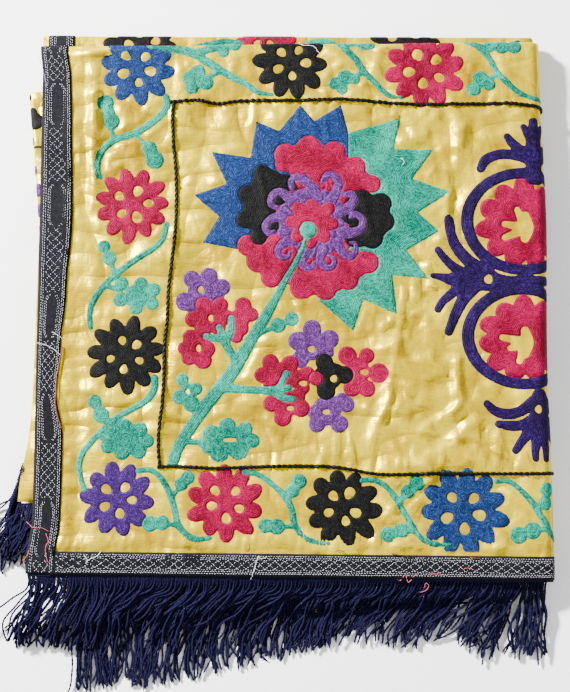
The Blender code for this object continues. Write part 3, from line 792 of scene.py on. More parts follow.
def stitched_distance(x, y):
    """Give how far places on the panel lie from the embroidery, negative under it."""
    i = (np.asarray(x) - panel_net.xs[0]) / panel_net.cell
    j = (np.asarray(y) - panel_net.ys[0]) / panel_net.cell
    i = np.clip(i, 0, len(panel_net.xs) - 1.001)
    j = np.clip(j, 0, len(panel_net.ys) - 1.001)
    a, b = i.astype(int), j.astype(int)
    s, t = i - a, j - b
    field = panel_net.stitched
    low = field[b, a] * (1 - s) + field[b, a + 1] * s
    high = field[b + 1, a] * (1 - s) + field[b + 1, a + 1] * s
    return low * (1 - t) + high * t


# %% [markdown]
# ## The creases of the satin
#
# Satin that has been folded and unfolded keeps its creases, and they are what makes it look like cloth.
# The main ones are listed one by one: each is a line on the panel with a width and a height, a ridge where
# the height is positive and a trough where it is negative. Small puckers stand beside every seam, because
# the thread pulls the cloth together there. A little noise keeps all of it uneven.

# %% Uneven noise
def soft_noise(x, y, size, seed):
    """Give smooth uneven values from -1 to 1, with bumps about that size apart."""
    table = np.random.default_rng(seed).uniform(-1.0, 1.0, (64, 64))
    across, up = np.asarray(x) / size, np.asarray(y) / size
    i, j = np.floor(across).astype(int), np.floor(up).astype(int)
    a, b = ease(across - i), ease(up - j)
    corner = [[table[(i + di) % 64, (j + dj) % 64] for dj in (0, 1)] for di in (0, 1)]
    low = corner[0][0] * (1 - a) + corner[1][0] * a
    high = corner[0][1] * (1 - a) + corner[1][1] * a
    return low * (1 - b) + high * b


# %% Creases, listed one by one: start, end, width and height in millimetres on the panel
CREASES = [
    (-228, 250, -227, -6, 9, -2), (-227, -2, -227, -269, 9, -1.8), (-214, 252, -214, 105, 6, 1.2),
    (-217, 60, -222, -39, 4, 1.1), (-215, 93, -218, -6, 3, -0.9), (-219, 273, -214, 73, 7, 1.3),
    (-226, 195, -221, 76, 3, -1), (-232, 264, -228, -39, 4, 1), (-205, 232, -209, 170, 4, -0.9),
    (-196, 222, -200, 195, 3, 0.8), (-242, -106, -235, -160, 3, 1), (-229, -48, -224, -160, 3, -0.9),
    (-233, -163, -237, -243, 4, 0.9), (-248, 49, -248, -39, 3, 0.8), (-208, 161, -220, 88, 4, 0.8),
    (-187, 181, -210, 138, 4, -0.7), (-40, 218, -39, 191, 3, 1.6), (-44, 218, -44, 193, 3, -1.2),
    (-30, 209, -4, 195, 3, 0.9), (-82, 213, -93, 186, 8, -1), (-121, 204, -129, 161, 10, 1.1),
    (-131, 159, -93, 177, 6, -0.9), (-136, 138, -102, 132, 6, 0.9), (-124, 116, -82, 125, 4, -0.8),
    (-102, 99, -74, 109, 4, 0.8), (-136, 82, -108, 58, 6, 0.7), (-162, 175, -125, 200, 4, 0.7),
    (-153, 105, -135, 118, 3, -0.6), (-132, -126, -111, -137, 3, 1), (-132, -134, -113, -152, 3, -0.9),
    (-130, -147, -115, -164, 3, 0.8), (-106, -174, -79, -165, 3, 0.8), (-119, 49, -123, -6, 7, 0.8),
    (-127, -6, -116, -39, 6, -0.6), (-29, -6, -36, -55, 7, 0.9), (-53, -55, -34, -39, 6, -0.7),
    (12, -6, 8, -50, 6, 0.8), (-120, -55, -100, -74, 4, 0.7), (-53, -93, -29, -85, 4, 0.8),
    (-29, -137, 12, -128, 6, -0.7), (-42, -158, -40, -183, 3, 0.9), (-15, -158, -12, -184, 3, 0.9),
    (12, -154, 16, -184, 3, -0.9), (115, 213, 116, 195, 2, 1.5), (121, 211, 122, 195, 2, -1.3),
    (122, 195, 146, 162, 4, -1.5), (136, 188, 146, 163, 3, 1.2), (167, 209, 149, 172, 6, 1.1),
    (158, 213, 145, 204, 4, 0.9), (178, 170, 182, 123, 4, -1.4), (187, 204, 180, 161, 7, 1.3),
    (196, 197, 175, 114, 7, 1.3), (181, 131, 181, 81, 3, -2), (174, 116, 175, 78, 4, 1.6),
    (199, 150, 190, 89, 4, 0.9), (216, 197, 222, 161, 7, 0.8), (163, 144, 153, 132, 4, 0.9),
    (125, 22, 119, -59, 3, 1.7), (130, 20, 123, -61, 3, -1.2), (119, -59, 105, -102, 4, 1.5),
    (119, -24, 145, -10, 3, -1.3), (98, -40, 118, -24, 3, 1.2), (89, -33, 92, -52, 3, 1.2),
    (152, 36, 138, 11, 4, 1), (156, -63, 184, -63, 4, -1), (137, -4, 164, 14, 4, 0.8),
    (185, -67, 178, -138, 6, 2.1), (175, -74, 172, -120, 4, -1.6), (190, -63, 195, -117, 4, -1),
    (136, -106, 135, -137, 4, -1), (150, -39, 163, -85, 8, 1), (100, -137, 109, -102, 3, 1.4),
    (106, -141, 115, -106, 3, -1.1), (131, -55, 141, -99, 6, -0.8), (114, -85, 132, -113, 4, 0.9),
    (59, -149, 60, -185, 3, -1.9), (65, -147, 66, -185, 4, 1.4), (100, -126, 85, -188, 4, 1.5),
    (93, -115, 78, -158, 4, -1), (201, -139, 142, -188, 7, 2.2), (194, -132, 144, -171, 4, -1.4),
    (187, -120, 140, -151, 6, 1.6), (180, -117, 136, -141, 3, -1.1), (125, -149, 153, -168, 4, 1.5),
    (119, -154, 144, -174, 3, -1.1), (201, -141, 201, -188, 4, 1.4), (196, -115, 203, -141, 4, 1.2),
    (111, -158, 127, -186, 4, 1.1), (108, -128, 121, -158, 3, -1), (161, -171, 174, -188, 3, 1),
    (71, -117, 89, -132, 4, 0.8), (35, -158, 39, -184, 3, 0.8), (49, -145, 52, -184, 3, 0.9),
    (22, -154, 24, -184, 3, -0.7), (153, -198, 104, -238, 4, 1.9), (148, -207, 109, -241, 3, -1.4),
    (99, -260, 77, -271, 3, 1), (139, -243, 126, -260, 4, -0.7), (67, -264, 71, -274, 3, 0.8),
    (223, 127, 218, 91, 4, 0.7), (226, -137, 223, -186, 6, 0.9), (235, -158, 238, -190, 6, -0.8),
    (-155, 287, -124, 279, 3, 1.6), (-255, 270, -155, 276, 4, 2.2), (-55, 273, -30, 257, 3, 0.9),
    (46, 264, 70, 245, 4, -0.8), (118, 266, 144, 278, 4, 1), (235, 273, 243, 241, 4, 0.8),
    (-135, 270, -143, 241, 4, 0.9), (-63, 252, -54, 225, 4, 0.9), (70, 241, 57, 220, 4, 0.7),
    (185, 264, 201, 229, 4, 0.8), (168, 273, 182, 282, 3, 0.8),
]
print(len(CREASES), "creases placed by hand")

# %% The relief of the top ply
PUCKER_SEAMS = [(-131, 221, -136, -181, 9.0, 0.45), (-131, 222, 285, 216, 11.0, 0.75)]
PUCKER_SEAMS += [(-136, -180, 283, -186, 13.0, 0.85), (-280, -272, 290, -262, 17.0, 1.1)]
PUCKER_SEAMS += [(-232, -270, -225, 280, 9.0, 0.55)]


SWELL = 0.75
UNDER_SILK = 0.35
UNDER_TAPE = 0.30
CREASE_GAIN = 2.1
PUCKER_GAIN = 1.8
NOISE_GAIN = 2.4
DEEPEST = 1.9


def along_line(x, y, line):
    """Give how far along a line each place is, from 0 to 1, and how far beside it."""
    start, end = np.array(line[:2], float), np.array(line[2:4], float)
    run = end - start
    length = np.hypot(*run)
    share = ((x - start[0]) * run[0] + (y - start[1]) * run[1]) / length ** 2
    beside = ((x - start[0]) * run[1] - (y - start[1]) * run[0]) / length
    return share, beside, length


def crease_relief(x, y):
    """Add up the creases placed by hand."""
    height = np.zeros(len(x))
    bent_x = x + 2.2 * soft_noise(x, y, 23.0, 5)
    bent_y = y + 2.2 * soft_noise(x, y, 23.0, 6)
    for line in CREASES:
        width, tall = line[4:6]
        share, beside, length = along_line(bent_x, bent_y, line)
        taper = ease(share / 0.25 + 0.5) * ease((1 - share) / 0.25 + 0.5)
        width = width * (0.75 + 0.5 * np.clip(share, 0.0, 1.0))
        height += tall * taper * np.exp(-(beside / width) ** 2) * (0.85 + 0.35 * soft_noise(x, y, 14.0, 9))
    return height


def pucker_relief(x, y):
    """Add the small gathers that stand beside a seam."""
    height = np.zeros(len(x))
    for number, line in enumerate(PUCKER_SEAMS):
        share, beside, length = along_line(x, y, line)
        along = share * length + 2.5 * soft_noise(x, y, 19.0, 30 + number)
        pitch = 6.5 + 1.5 * soft_noise(share * length, np.zeros(len(x)), 47.0, 40 + number)
        uneven = 0.55 + 0.6 * soft_noise(along, beside, 21.0, 50 + number)
        gathers = np.sin(2 * math.pi * along / pitch) * uneven
        near = np.exp(-(beside / line[4]) ** 2) * ease(share * 20 + 0.5) * ease((1 - share) * 20 + 0.5)
        height += line[5] * gathers * near
    return height


def noise_relief(x, y):
    """Add soft swells and the crumpled look of the bare field at the right."""
    swells = 1.1 * soft_noise(x, y, 62.0, 1) + 0.5 * soft_noise(x, y, 27.0, 2)
    crumple = 0.5 - np.abs(soft_noise(x + 0.4 * y, y - 0.3 * x, 25.0, 3))
    crumple += 0.5 * (0.5 - np.abs(soft_noise(x, y, 13.0, 4)))
    right = 0.35 + 0.65 * rising(x, (20.0, 90.0)) * falling(x, (262.0, 40.0))
    upright = 0.5 - np.abs(soft_noise(1.6 * x + 0.3 * y, 0.45 * y, 22.0, 14))
    return swells + 1.3 * crumple * right + 0.9 * upright + 0.18 * soft_noise(x, y, 7.5, 8)


def panel_of(u, v):
    """Give the places on the panel, in millimetres, of flat places of the top ply."""
    level = np.full(len(u), TOP_HEIGHT)
    there = settle(np.column_stack([u + CORNER_X, v + CORNER_Y, level]))
    return ((there[:, :2] + (FOOT_X, FOOT_Y)) / MM).T


def relief(u, v):
    """Give the height, in metres, that creases add to the top ply. It is none on the other plies."""
    u, v = np.asarray(u, float), np.asarray(v, float)
    x, y = panel_of(u, v)
    stitched = stitched_distance(x, y)
    bare = ease(stitched / 6.0)
    clear = UNDER_SILK + (1 - UNDER_SILK) * ease(stitched / 4.0 + 0.6)
    height = CREASE_GAIN * crease_relief(x, y) * clear
    small = PUCKER_GAIN * pucker_relief(x, y) + NOISE_GAIN * noise_relief(x, y)
    height += small * (UNDER_SILK + (1 - UNDER_SILK) * bare)
    height += SWELL * bare * (1 + 0.6 * soft_noise(x, y, 16.0, 12))
    height = np.where(height < 0.0, -DEEPEST * (1 - np.exp(height / DEEPEST)), height)
    kept = falling(u, (0.551, 0.020)) * falling(v, (TOP_WIDTH + 0.001, 0.007))
    under_tape = UNDER_TAPE + (1 - UNDER_TAPE) * rising(u, (0.024, 0.008)) * rising(v, (0.020, 0.014))
    return height * MM * kept * under_tape * (v < TOP_WIDTH + 0.002)


# %% [markdown]
# ## The satin sheet
#
# The bedspread is one piece of satin, so it is one mesh. A grid as fine as the creases of the top ply
# would be far too heavy on the seven plies below, where nobody looks. Places are therefore set close
# together on the top ply and in the bends, and far apart elsewhere, and Blender's Delaunay function joins
# them with triangles. The flat triangles are then folded twice, as a face and a back.

# %% Rows and columns of places on the flat cloth
FINE = 0.0036
COARSE_ROWS = 4
COARSE = FINE * COARSE_ROWS


def stations(marks, sizes):
    """Give places from mark to mark, each span with its own step size."""
    places = [marks[0]]
    for start, end, size in zip(marks, marks[1:], sizes):
        count = max(1, round((end - start) / size))
        places += [start + (end - start) * (k + 1) / count for k in range(count)]
    return places


def cloth_row(v, fine):
    """Give the places of one row: fine on the top ply and closer together in the bends."""
    marks = [0.0, *fold_marks(v), float(inner_end(v))]
    ply = FINE if fine else COARSE
    return stations(marks, [ply, 0.0036, COARSE, 0.0025, COARSE, 0.0045, COARSE])


def part_row(v):
    """Give only the fine places of the top ply, for the rows between the whole ones."""
    return stations([0.0, fold_marks(v)[0]], [FINE])


def cloth_places():
    """Give the flat places of the cloth and its outline."""
    top = stations([0.0, TOP_WIDTH], [FINE])
    bend = stations([TOP_WIDTH, TOP_WIDTH + math.pi * TOP_RADIUS], [0.00079])[1:]
    under = stations([bend[-1], CLOTH_WIDTH], [COARSE])[1:]
    inside, left, right = [], [], []
    for number, v in enumerate(top + bend + under):
        whole = number % COARSE_ROWS == 0 or v in bend or v in under or v == TOP_WIDTH
        row = cloth_row(v, v <= bend[-1]) if whole else part_row(v)
        left.append((row[0], v))
        if whole:
            right.append((row[-1], v))
        last = len(row) - 1 if whole else len(row)
        inside += [(u, v) for u in row[1:last]]
    first = [p for p in inside if p[1] == 0.0]
    final = [p for p in inside if p[1] == CLOTH_WIDTH]
    inside = [p for p in inside if 0.0 < p[1] < CLOTH_WIDTH]
    outline = [left[0], *first, *right, *final[::-1], *left[:0:-1]]
    return outline, inside


# %% Join the places and fold them
def triangles_inside(outline, inside):
    """Join flat places with triangles that fill the outline."""
    places = [Vector(p) for p in outline + inside]
    rim = [(k, (k + 1) % len(outline)) for k in range(len(outline))]
    made = delaunay_2d_cdt(places, rim, [list(range(len(outline)))], 1, 1e-7)
    return np.array([tuple(p) for p in made[0]]), np.array(made[2])


def rim_edges(triangles):
    """List the edges that only one triangle has, in its direction."""
    edges = np.concatenate([triangles[:, [0, 1]], triangles[:, [1, 2]], triangles[:, [2, 0]]])
    keys = np.sort(edges, 1)
    _, first, count = np.unique(keys, axis=0, return_index=True, return_counts=True)
    return edges[first[count == 1]]


def counter_clockwise(flat, triangles):
    """Turn every triangle the same way round."""
    a, b, c = (flat[triangles[:, k]] for k in range(3))
    turned = (b - a)[:, 0] * (c - a)[:, 1] - (b - a)[:, 1] * (c - a)[:, 0]
    return np.where((turned < 0)[:, None], triangles[:, ::-1], triangles)


def add_mesh(name, places, faces, finish, uv=None, smooth=True):
    """Make one piece from its corners and faces, with a flat map where the cloth needs one."""
    mesh = bpy.data.meshes.new(name)
    mesh.from_pydata(np.asarray(places).tolist(), [], [list(map(int, face)) for face in faces])
    if uv is not None:
        corners = np.zeros(len(mesh.loops), int)
        mesh.loops.foreach_get("vertex_index", corners)
        layer = mesh.uv_layers.new(name="flat")
        layer.data.foreach_set("uv", np.asarray(uv, float)[corners].ravel())
    mesh.polygons.foreach_set("use_smooth", [smooth] * len(mesh.polygons))
    mesh.materials.append(finish)
    mesh.validate()
    piece = bpy.data.objects.new(name, mesh)
    bpy.context.scene.collection.objects.link(piece)
    return piece


def shell(name, flat, triangles, face_height, back_height, finish):
    """Fold flat triangles into a closed sheet with a face, a back and a rim."""
    triangles = counter_clockwise(flat, triangles)
    count = len(flat)
    upper = folded(np.column_stack([flat, face_height]))
    lower = folded(np.column_stack([flat, back_height]))
    rim = rim_edges(triangles)
    wall = np.column_stack([rim[:, 1], rim[:, 0], rim[:, 0] + count, rim[:, 1] + count])
    faces = [*triangles, *(triangles[:, ::-1] + count), *wall]
    return add_mesh(name, np.concatenate([upper, lower]), faces, finish, np.concatenate([flat, flat]))


outline, inside = cloth_places()
cloth_flat, cloth_triangles = triangles_inside(outline, inside)

# %% Make the sheet
cloth_relief = relief(cloth_flat[:, 0], cloth_flat[:, 1])
cloth = shell("cloth_sheet", cloth_flat, cloth_triangles, cloth_relief + SATIN_HALF,
              cloth_relief - SATIN_HALF, satin)
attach(cloth, "root")
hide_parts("cloth")
print("creases reach from", round(cloth_relief.min() / MM, 2), "to", round(cloth_relief.max() / MM, 2), "mm")

# %% [markdown]
# ## Threads and yarns as tubes
#
# Every thread and yarn is a tube round a line. One function wraps a section round the line and lets it
# turn as it goes, so that an oval section gives a twisted yarn, and a bundle gathers hundreds of tubes in
# one mesh, because hundreds of objects would be slow.

# %% Tubes and bundles
TIP_RUN = 0.002
TIP_SLIM = 0.75


def yarn_tube(path, half, flatness, sides, run, phase):
    """Wrap a turning oval section round a path. Returns its corners, its faces and its map."""
    along = np.gradient(path, axis=0)
    along /= np.linalg.norm(along, axis=1)[:, None]
    side = np.cross(along, (0.0, 0.0, 1.0))
    side /= np.maximum(np.linalg.norm(side, axis=1), 1e-6)[:, None]
    up = np.cross(side, along)
    gone = np.concatenate([[0.0], np.cumsum(np.linalg.norm(np.diff(path, axis=0), axis=1))])
    rows = []
    maps = []
    for k in range(sides):
        angle = 2 * math.pi * k / sides
        spin = 2 * math.pi * gone / run + phase
        a, b = half * flatness * math.cos(angle), half * math.sin(angle)
        across = a * np.cos(spin) - b * np.sin(spin)
        over = a * np.sin(spin) + b * np.cos(spin)
        slim = 1 - TIP_SLIM * ease((gone - gone[-1] + TIP_RUN) / TIP_RUN)
        rows.append(path + side * (across * slim)[:, None] + up * (over * slim)[:, None])
        maps.append(np.column_stack([np.full(len(path), 0.0) + k, gone * 1000]))
    corners = np.stack(rows, 1).reshape(-1, 3)
    uv = np.stack(maps, 1).reshape(-1, 2)
    faces = []
    for j in range(len(path) - 1):
        for k in range(sides):
            a, b = j * sides + k, j * sides + (k + 1) % sides
            faces.append((a, b, b + sides, a + sides))
    faces.append(tuple(range(sides))[::-1])
    faces.append(tuple((len(path) - 1) * sides + k for k in range(sides)))
    return corners, faces, uv


class Bundle:
    """Gather many tubes into one mesh."""

    def __init__(self):
        self.corners, self.faces, self.maps, self.count = [], [], [], 0

    def take(self, corners, faces, uv):
        """Add one tube."""
        self.corners.append(corners)
        self.maps.append(uv)
        self.faces += [tuple(c + self.count for c in face) for face in faces]
        self.count += len(corners)

    def make(self, name, finish):
        """Make the mesh."""
        return add_mesh(name, np.concatenate(self.corners), self.faces, finish, np.concatenate(self.maps))


# %% [markdown]
# ## The embroidery, sewn on
#
# Each layer of thread becomes a mesh: the net's cells inside the colour are kept, the cells at the edge are
# clipped along it, and the middle is raised like a low cushion that dips at its rim. The distance to the
# edge goes into a second map, and the silk's finish draws its rows of stitches from that.

# %% Silk materials
ROW_PITCH = 1.8


def make_silk(name, dark, middle, light, blush=None):
    """Build a silk whose rows of stitches follow the depth inside the edge of its colour."""
    finish = Finish("silk_" + name, 0.60, 0.05)
    rows = finish.add("ShaderNodeUVMap", uv_map="rows")
    parts = finish.add("ShaderNodeSeparateXYZ")
    finish.links.new(rows.outputs["UV"], parts.inputs["Vector"])
    flat = finish.add("ShaderNodeUVMap", uv_map="flat")
    flat_parts = finish.add("ShaderNodeSeparateXYZ")
    finish.links.new(flat.outputs["UV"], flat_parts.inputs["Vector"])
    depth = parts.outputs["X"]
    streak = finish.add("ShaderNodeCombineXYZ")
    finish.feed(streak, X=finish.math("MULTIPLY", depth, 0.75),
                Y=finish.math("MULTIPLY", flat_parts.outputs["X"], 210.0),
                Z=finish.math("MULTIPLY", flat_parts.outputs["Y"], 210.0))
    threads = finish.noise(streak.outputs["Vector"], 1.0, 3.0, 0.65)
    specks = finish.noise(finish.flat_map(), 620.0, 2.0, 0.6)
    clouds = finish.noise(finish.flat_map(), 26.0, 2.0, 0.5)
    tone = finish.math("ADD", finish.math("MULTIPLY", threads, 0.55), finish.math("MULTIPLY", specks, 0.45))
    shade = finish.ramp(tone, (0.36, linear(*dark)), (0.50, linear(*middle)), (0.64, linear(*light)))
    if blush:
        shade = finish.mix("MIX", finish.ramp(clouds, (0.40, (0.0,) * 3), (0.62, (0.75,) * 3)), shade,
                           finish.ramp(tone, (0.36, linear(*blush[0])), (0.62, linear(*blush[1]))))
    finish.colour(shade)
    stitch = finish.math("SINE", finish.math("MULTIPLY", depth, 2 * math.pi / ROW_PITCH), 0.0)
    height = finish.math("ADD", finish.math("MULTIPLY", stitch, 0.35), finish.math("MULTIPLY", tone, 2.8))
    finish.bump(height, 0.55, 0.0005)
    return finish.material


silks = {
    "turquoise": make_silk("turquoise", (0, 42, 34), (0, 84, 68), (10, 128, 104),
                           ((0, 66, 52), (26, 156, 128))),
    "pink": make_silk("pink", (62, 0, 14), (92, 0, 27), (128, 0, 44), ((86, 0, 32), (150, 0, 62))),
    "lilac": make_silk("lilac", (34, 14, 46), (62, 28, 78), (104, 60, 124)),
    "plum": make_silk("plum", (20, 7, 40), (38, 15, 66), (70, 38, 104)),
    "black": make_silk("black", (3, 3, 4), (8, 8, 9), (26, 25, 23)),
    "violet": make_silk("violet", (7, 2, 20), (20, 5, 46), (46, 24, 84), ((6, 2, 16), (22, 9, 42))),
    "blue": make_silk("blue", (6, 17, 42), (14, 33, 70), (38, 66, 116)),
}

silk_twist = Finish("silk_twist_black", 0.50, 0.08)
silk_twist.colour(silk_twist.ramp(silk_twist.noise(silk_twist.flat_map(0.4, 0.9), 1.0, 3.0, 0.6),
                                  (0.35, linear(4, 4, 4)), (0.60, linear(13, 12, 11)),
                                  (0.80, linear(46, 42, 28))))
silk_twist = silk_twist.material


# %% Keep the part of the net that a layer covers
def clipped_cells(xs, ys, field):
    """Cut a layer out of the net. Returns its places, their depth inside the edge, and its triangles."""
    columns = len(xs)
    number = np.arange(field.size).reshape(field.shape)
    a, b = number[:-1, :-1].ravel(), number[:-1, 1:].ravel()
    c, d = number[1:, 1:].ravel(), number[1:, :-1].ravel()
    odd = (a // columns + a % columns) % 2 == 1
    first = np.where(odd[:, None], np.stack([a, b, c], 1), np.stack([a, b, d], 1))
    second = np.where(odd[:, None], np.stack([a, c, d], 1), np.stack([b, c, d], 1))
    triangles = np.concatenate([first, second])
    values = field.ravel()
    inside = values[triangles] < 0
    count = inside.sum(1)
    whole = triangles[count == 3]
    pairs = {}
    places = []
    extra = []

    def crossing(p, q):
        """Give the place on an edge of the net where the layer ends."""
        key = (p, q) if p < q else (q, p)
        if key not in pairs:
            share = values[p] / (values[p] - values[q])
            pairs[key] = field.size + len(places)
            px, py, qx, qy = xs[p % columns], ys[p // columns], xs[q % columns], ys[q // columns]
            places.append((px + (qx - px) * share, py + (qy - py) * share))
        return pairs[key]

    for triangle, flags in zip(triangles[(count == 1) | (count == 2)], inside[(count == 1) | (count == 2)]):
        ring = []
        for k in range(3):
            p, q = int(triangle[k]), int(triangle[(k + 1) % 3])
            if flags[k]:
                ring.append(p)
            if flags[k] != flags[(k + 1) % 3]:
                ring.append(crossing(p, q))
        extra += [(ring[0], ring[k], ring[k + 1]) for k in range(1, len(ring) - 1)]
    faces = np.concatenate([whole, np.array(extra, int).reshape(-1, 3)])
    net_places = np.stack(np.meshgrid(xs, ys), -1).reshape(-1, 2)
    every = np.concatenate([net_places, np.array(places).reshape(-1, 2)])
    depth = np.concatenate([-values, np.zeros(len(places))])
    used, faces = np.unique(faces, return_inverse=True)
    return every[used], depth[used], faces.reshape(-1, 3)


# %% Raise it and fold it with the cloth
THREAD_HEIGHT = 0.0010
SUNK = -0.00012
PLUMP_RUN = 0.9


def sew_layer(net, layer, to_flat, relief_of):
    """Give the folded places of one layer, its maps and its faces."""
    places, depth, faces = clipped_cells(net.xs, net.ys, net.layers[layer])
    flat = to_flat(places)
    plump = 1 - np.exp(-np.clip(depth, 0.0, None) / PLUMP_RUN)
    height = SATIN_HALF + SUNK + THREAD_HEIGHT * plump + relief_of(flat[:, 0], flat[:, 1])
    return folded(np.column_stack([flat, height])), flat, depth, faces


def sew(name, net, layers, to_flat, relief_of, finish):
    """Join the layers of one colour in one piece."""
    places, flats, depths, faces, count = [], [], [], [], 0
    for layer in layers:
        if layer not in net.layers or not (net.layers[layer] < 0).any():
            continue
        there, flat, depth, corners = sew_layer(net, layer, to_flat, relief_of)
        places.append(there)
        flats.append(flat)
        depths.append(depth)
        faces.append(corners + count)
        count += len(there)
    if not places:
        return None
    piece = add_mesh(name, np.concatenate(places), np.concatenate(faces), finish, np.concatenate(flats))
    corners = np.zeros(len(piece.data.loops), int)
    piece.data.loops.foreach_get("vertex_index", corners)
    rows = piece.data.uv_layers.new(name="rows")
    depth = np.concatenate(depths)
    rows.data.foreach_set("uv", np.column_stack([depth, depth * 0])[corners].ravel())
    return piece


# %% [markdown]
# Two narrow strips of the plies below peek out, along the top and at the left. Their flowers are drawn
# straight on the flat cloth, in millimetres along its length and across its width.

# %% Flowers that peek out
def flat_places(places):
    """Give the flat places, in metres, of places drawn in millimetres on the flat cloth."""
    return np.asarray(places, float).reshape(-1, 2) * MM


def lay_out_peeks(top, side):
    """Put the shapes that show along the top fold and along the left fold on their nets."""
    dice = np.random.default_rng(4)
    bare = []
    for layer, x, y, radius, petals, turn in PEEK_FLOWERS:
        bare += border_flower(top, layer, x, y, radius, petals, turn, dice)
    for stroke in PEEK_STEMS:
        top.stroke("stem", stroke)
    for corners in bare:
        top.cut_outline(corners)
    for layer, x, y, radius in PEEK_LOBES:
        side.ball(layer, x, y, radius)
    side.stroke("night", [(1110, 515.5, 3), (1119, 516.5, 3), (1132, 515, 3)])


PEEK_FLOWERS = [("night", 2130, 594, 42, 10, 14), ("lobes", 1997, 580, 36, 10, 5),
                ("night", 1845, 586, 40, 10, 9), ("sky", 1721, 598, 12, 6, 0)]
PEEK_STEMS = [[(2094, 601, 8), (2076, 597, 9), (2058, 592, 8), (2040, 588, 7), (2024, 590, 6)],
              [(2080, 608, 8), (2060, 604, 9), (2040, 600, 8), (2030, 596, 7)],
              [(1950, 590, 7), (1932, 588, 8), (1916, 594, 6), (1900, 604, 6)],
              [(1792, 603, 6), (1770, 597, 7), (1750, 594, 6)]]
PEEK_LOBES = [("night", 1120, 576, 4), ("night", 1121, 556, 8), ("night", 1125, 546, 10),
              ("stem", 1117, 524, 6), ("petals", 1117, 490, 6.5), ("petals", 1121, 467, 8),
              ("petals", 1121, 444, 8), ("lobes", 1122, 417, 12), ("lobes", 1123, 400, 13),
              ("lobes", 1123, 353, 12), ("lobes", 1124, 340, 11)]
top_peek = Net(1690.0, 2200.0, 556.0, 626.0, 2.0)
side_peek = Net(1108.0, 1146.0, 322.0, 590.0, 2.0)
lay_out_peeks(top_peek, side_peek)
settle_layers(top_peek)
settle_layers(side_peek)

# %% Sew every colour
embroidery = []
for colour, finish in silks.items():
    layers = [layer for layer, thread in THREADS.items() if thread == colour]
    for place, net, to_flat in (("", panel_net, flat_of), ("_top", top_peek, flat_places),
                                ("_side", side_peek, flat_places)):
        piece = sew("embroidery_" + colour + place, net, layers, to_flat, relief, finish)
        if piece:
            embroidery.append(piece)
            print(piece.name, len(piece.data.polygons), "triangles")
for piece in embroidery:
    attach(piece, "root")


# %% [markdown]
# ## The black frame line
#
# A line of black chain stitch frames the field, thick enough to cast a small shadow. It is made as two
# strands that wind round each other along a path on the satin, which is how such a line looks once the
# silk has been worked tightly.

# %% Paths of the frame line
FRAME_SIDE = [
    (-127, 217), (-129, 201), (-127, 164), (-124, 127), (-124, 78), (-127, 41), (-131, 6), (-132, -29),
    (-135, -55), (-135, -82), (-136, -115), (-139, -141), (-140, -165), (-138, -187),
]
FRAME_UPPER = [
    (-132, 216), (-104, 218), (-78, 214), (-54, 217), (-2, 217), (44, 218), (59, 218), (129, 213),
    (201, 213), (245, 213), (274, 210), (300, 206),
]
FRAME_LOWER = [
    (-141, -187), (-121, -186), (-81, -188), (-13, -186), (31, -186), (57, -188), (91, -194),
    (116, -195), (158, -194), (209, -194), (257, -194), (276, -194), (302, -193),
]
STRAND_HALF = 0.00140
STRAND_APART = 0.00085
TWIST_PITCH = 0.0120
PATH_STEP = 1.3
CORD_SIDES = 6


def length_along(line):
    """Give how far along a flat line each of its places is."""
    return np.concatenate([[0.0], np.cumsum(np.hypot(*np.diff(line, axis=0).T))])


def even_path(panel_line, step):
    """Round a line on the panel and space its places evenly. Returns flat places."""
    line = smooth_stroke(np.column_stack([panel_line, np.zeros(len(panel_line))]))[:, :2]
    gone = length_along(line)
    places = np.arange(0.0, gone[-1], step)
    return flat_of(np.column_stack([np.interp(places, gone, line[:, k]) for k in (0, 1)]))


def frame_strand(flat, phase, dice):
    """Give the middle line of one strand in space."""
    run = np.gradient(flat, axis=0)
    run /= np.hypot(*run.T)[:, None]
    gone = length_along(flat)
    turn = 2 * math.pi * gone / TWIST_PITCH + phase + 0.5 * soft_noise(gone / MM, gone * 0, 30.0, 21)
    beside = STRAND_APART * np.cos(turn) * (1 + 0.15 * dice.normal(size=len(gone)))
    over = 0.55 * STRAND_APART * np.sin(turn)
    there = flat + np.column_stack([-run[:, 1], run[:, 0]]) * beside[:, None]
    height = SATIN_HALF + STRAND_HALF * 0.75 + over + relief(there[:, 0], there[:, 1])
    return folded(np.column_stack([there, height]))


# %% Wind the frame line
def round_tube(path, half, sides):
    """Wrap a round section round a path. Returns its corners, its faces and its map."""
    return yarn_tube(path, half, 1.0, sides, 1.0, 0.0)


# %% Add both strands of each side
dice = np.random.default_rng(5)
frame_line = Bundle()
for line in (FRAME_SIDE, FRAME_UPPER, FRAME_LOWER):
    flat = even_path(line, PATH_STEP)
    for phase in (0.0, math.pi):
        frame_line.take(*round_tube(frame_strand(flat, phase, dice), STRAND_HALF, CORD_SIDES))
frame_cord = frame_line.make("frame_line", silk_twist)
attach(frame_cord, "root")
print("frame line:", len(frame_cord.data.polygons), "faces")

# %% [markdown]
# ## The tapes
#
# A black woven tape binds each edge. It is a narrow closed sheet that lies on the satin and folds with it,
# and its crown is a little higher than its edges. Its white stitches are real ones: each is a short thread
# of a few faces, because a painted line would look flat from the side.

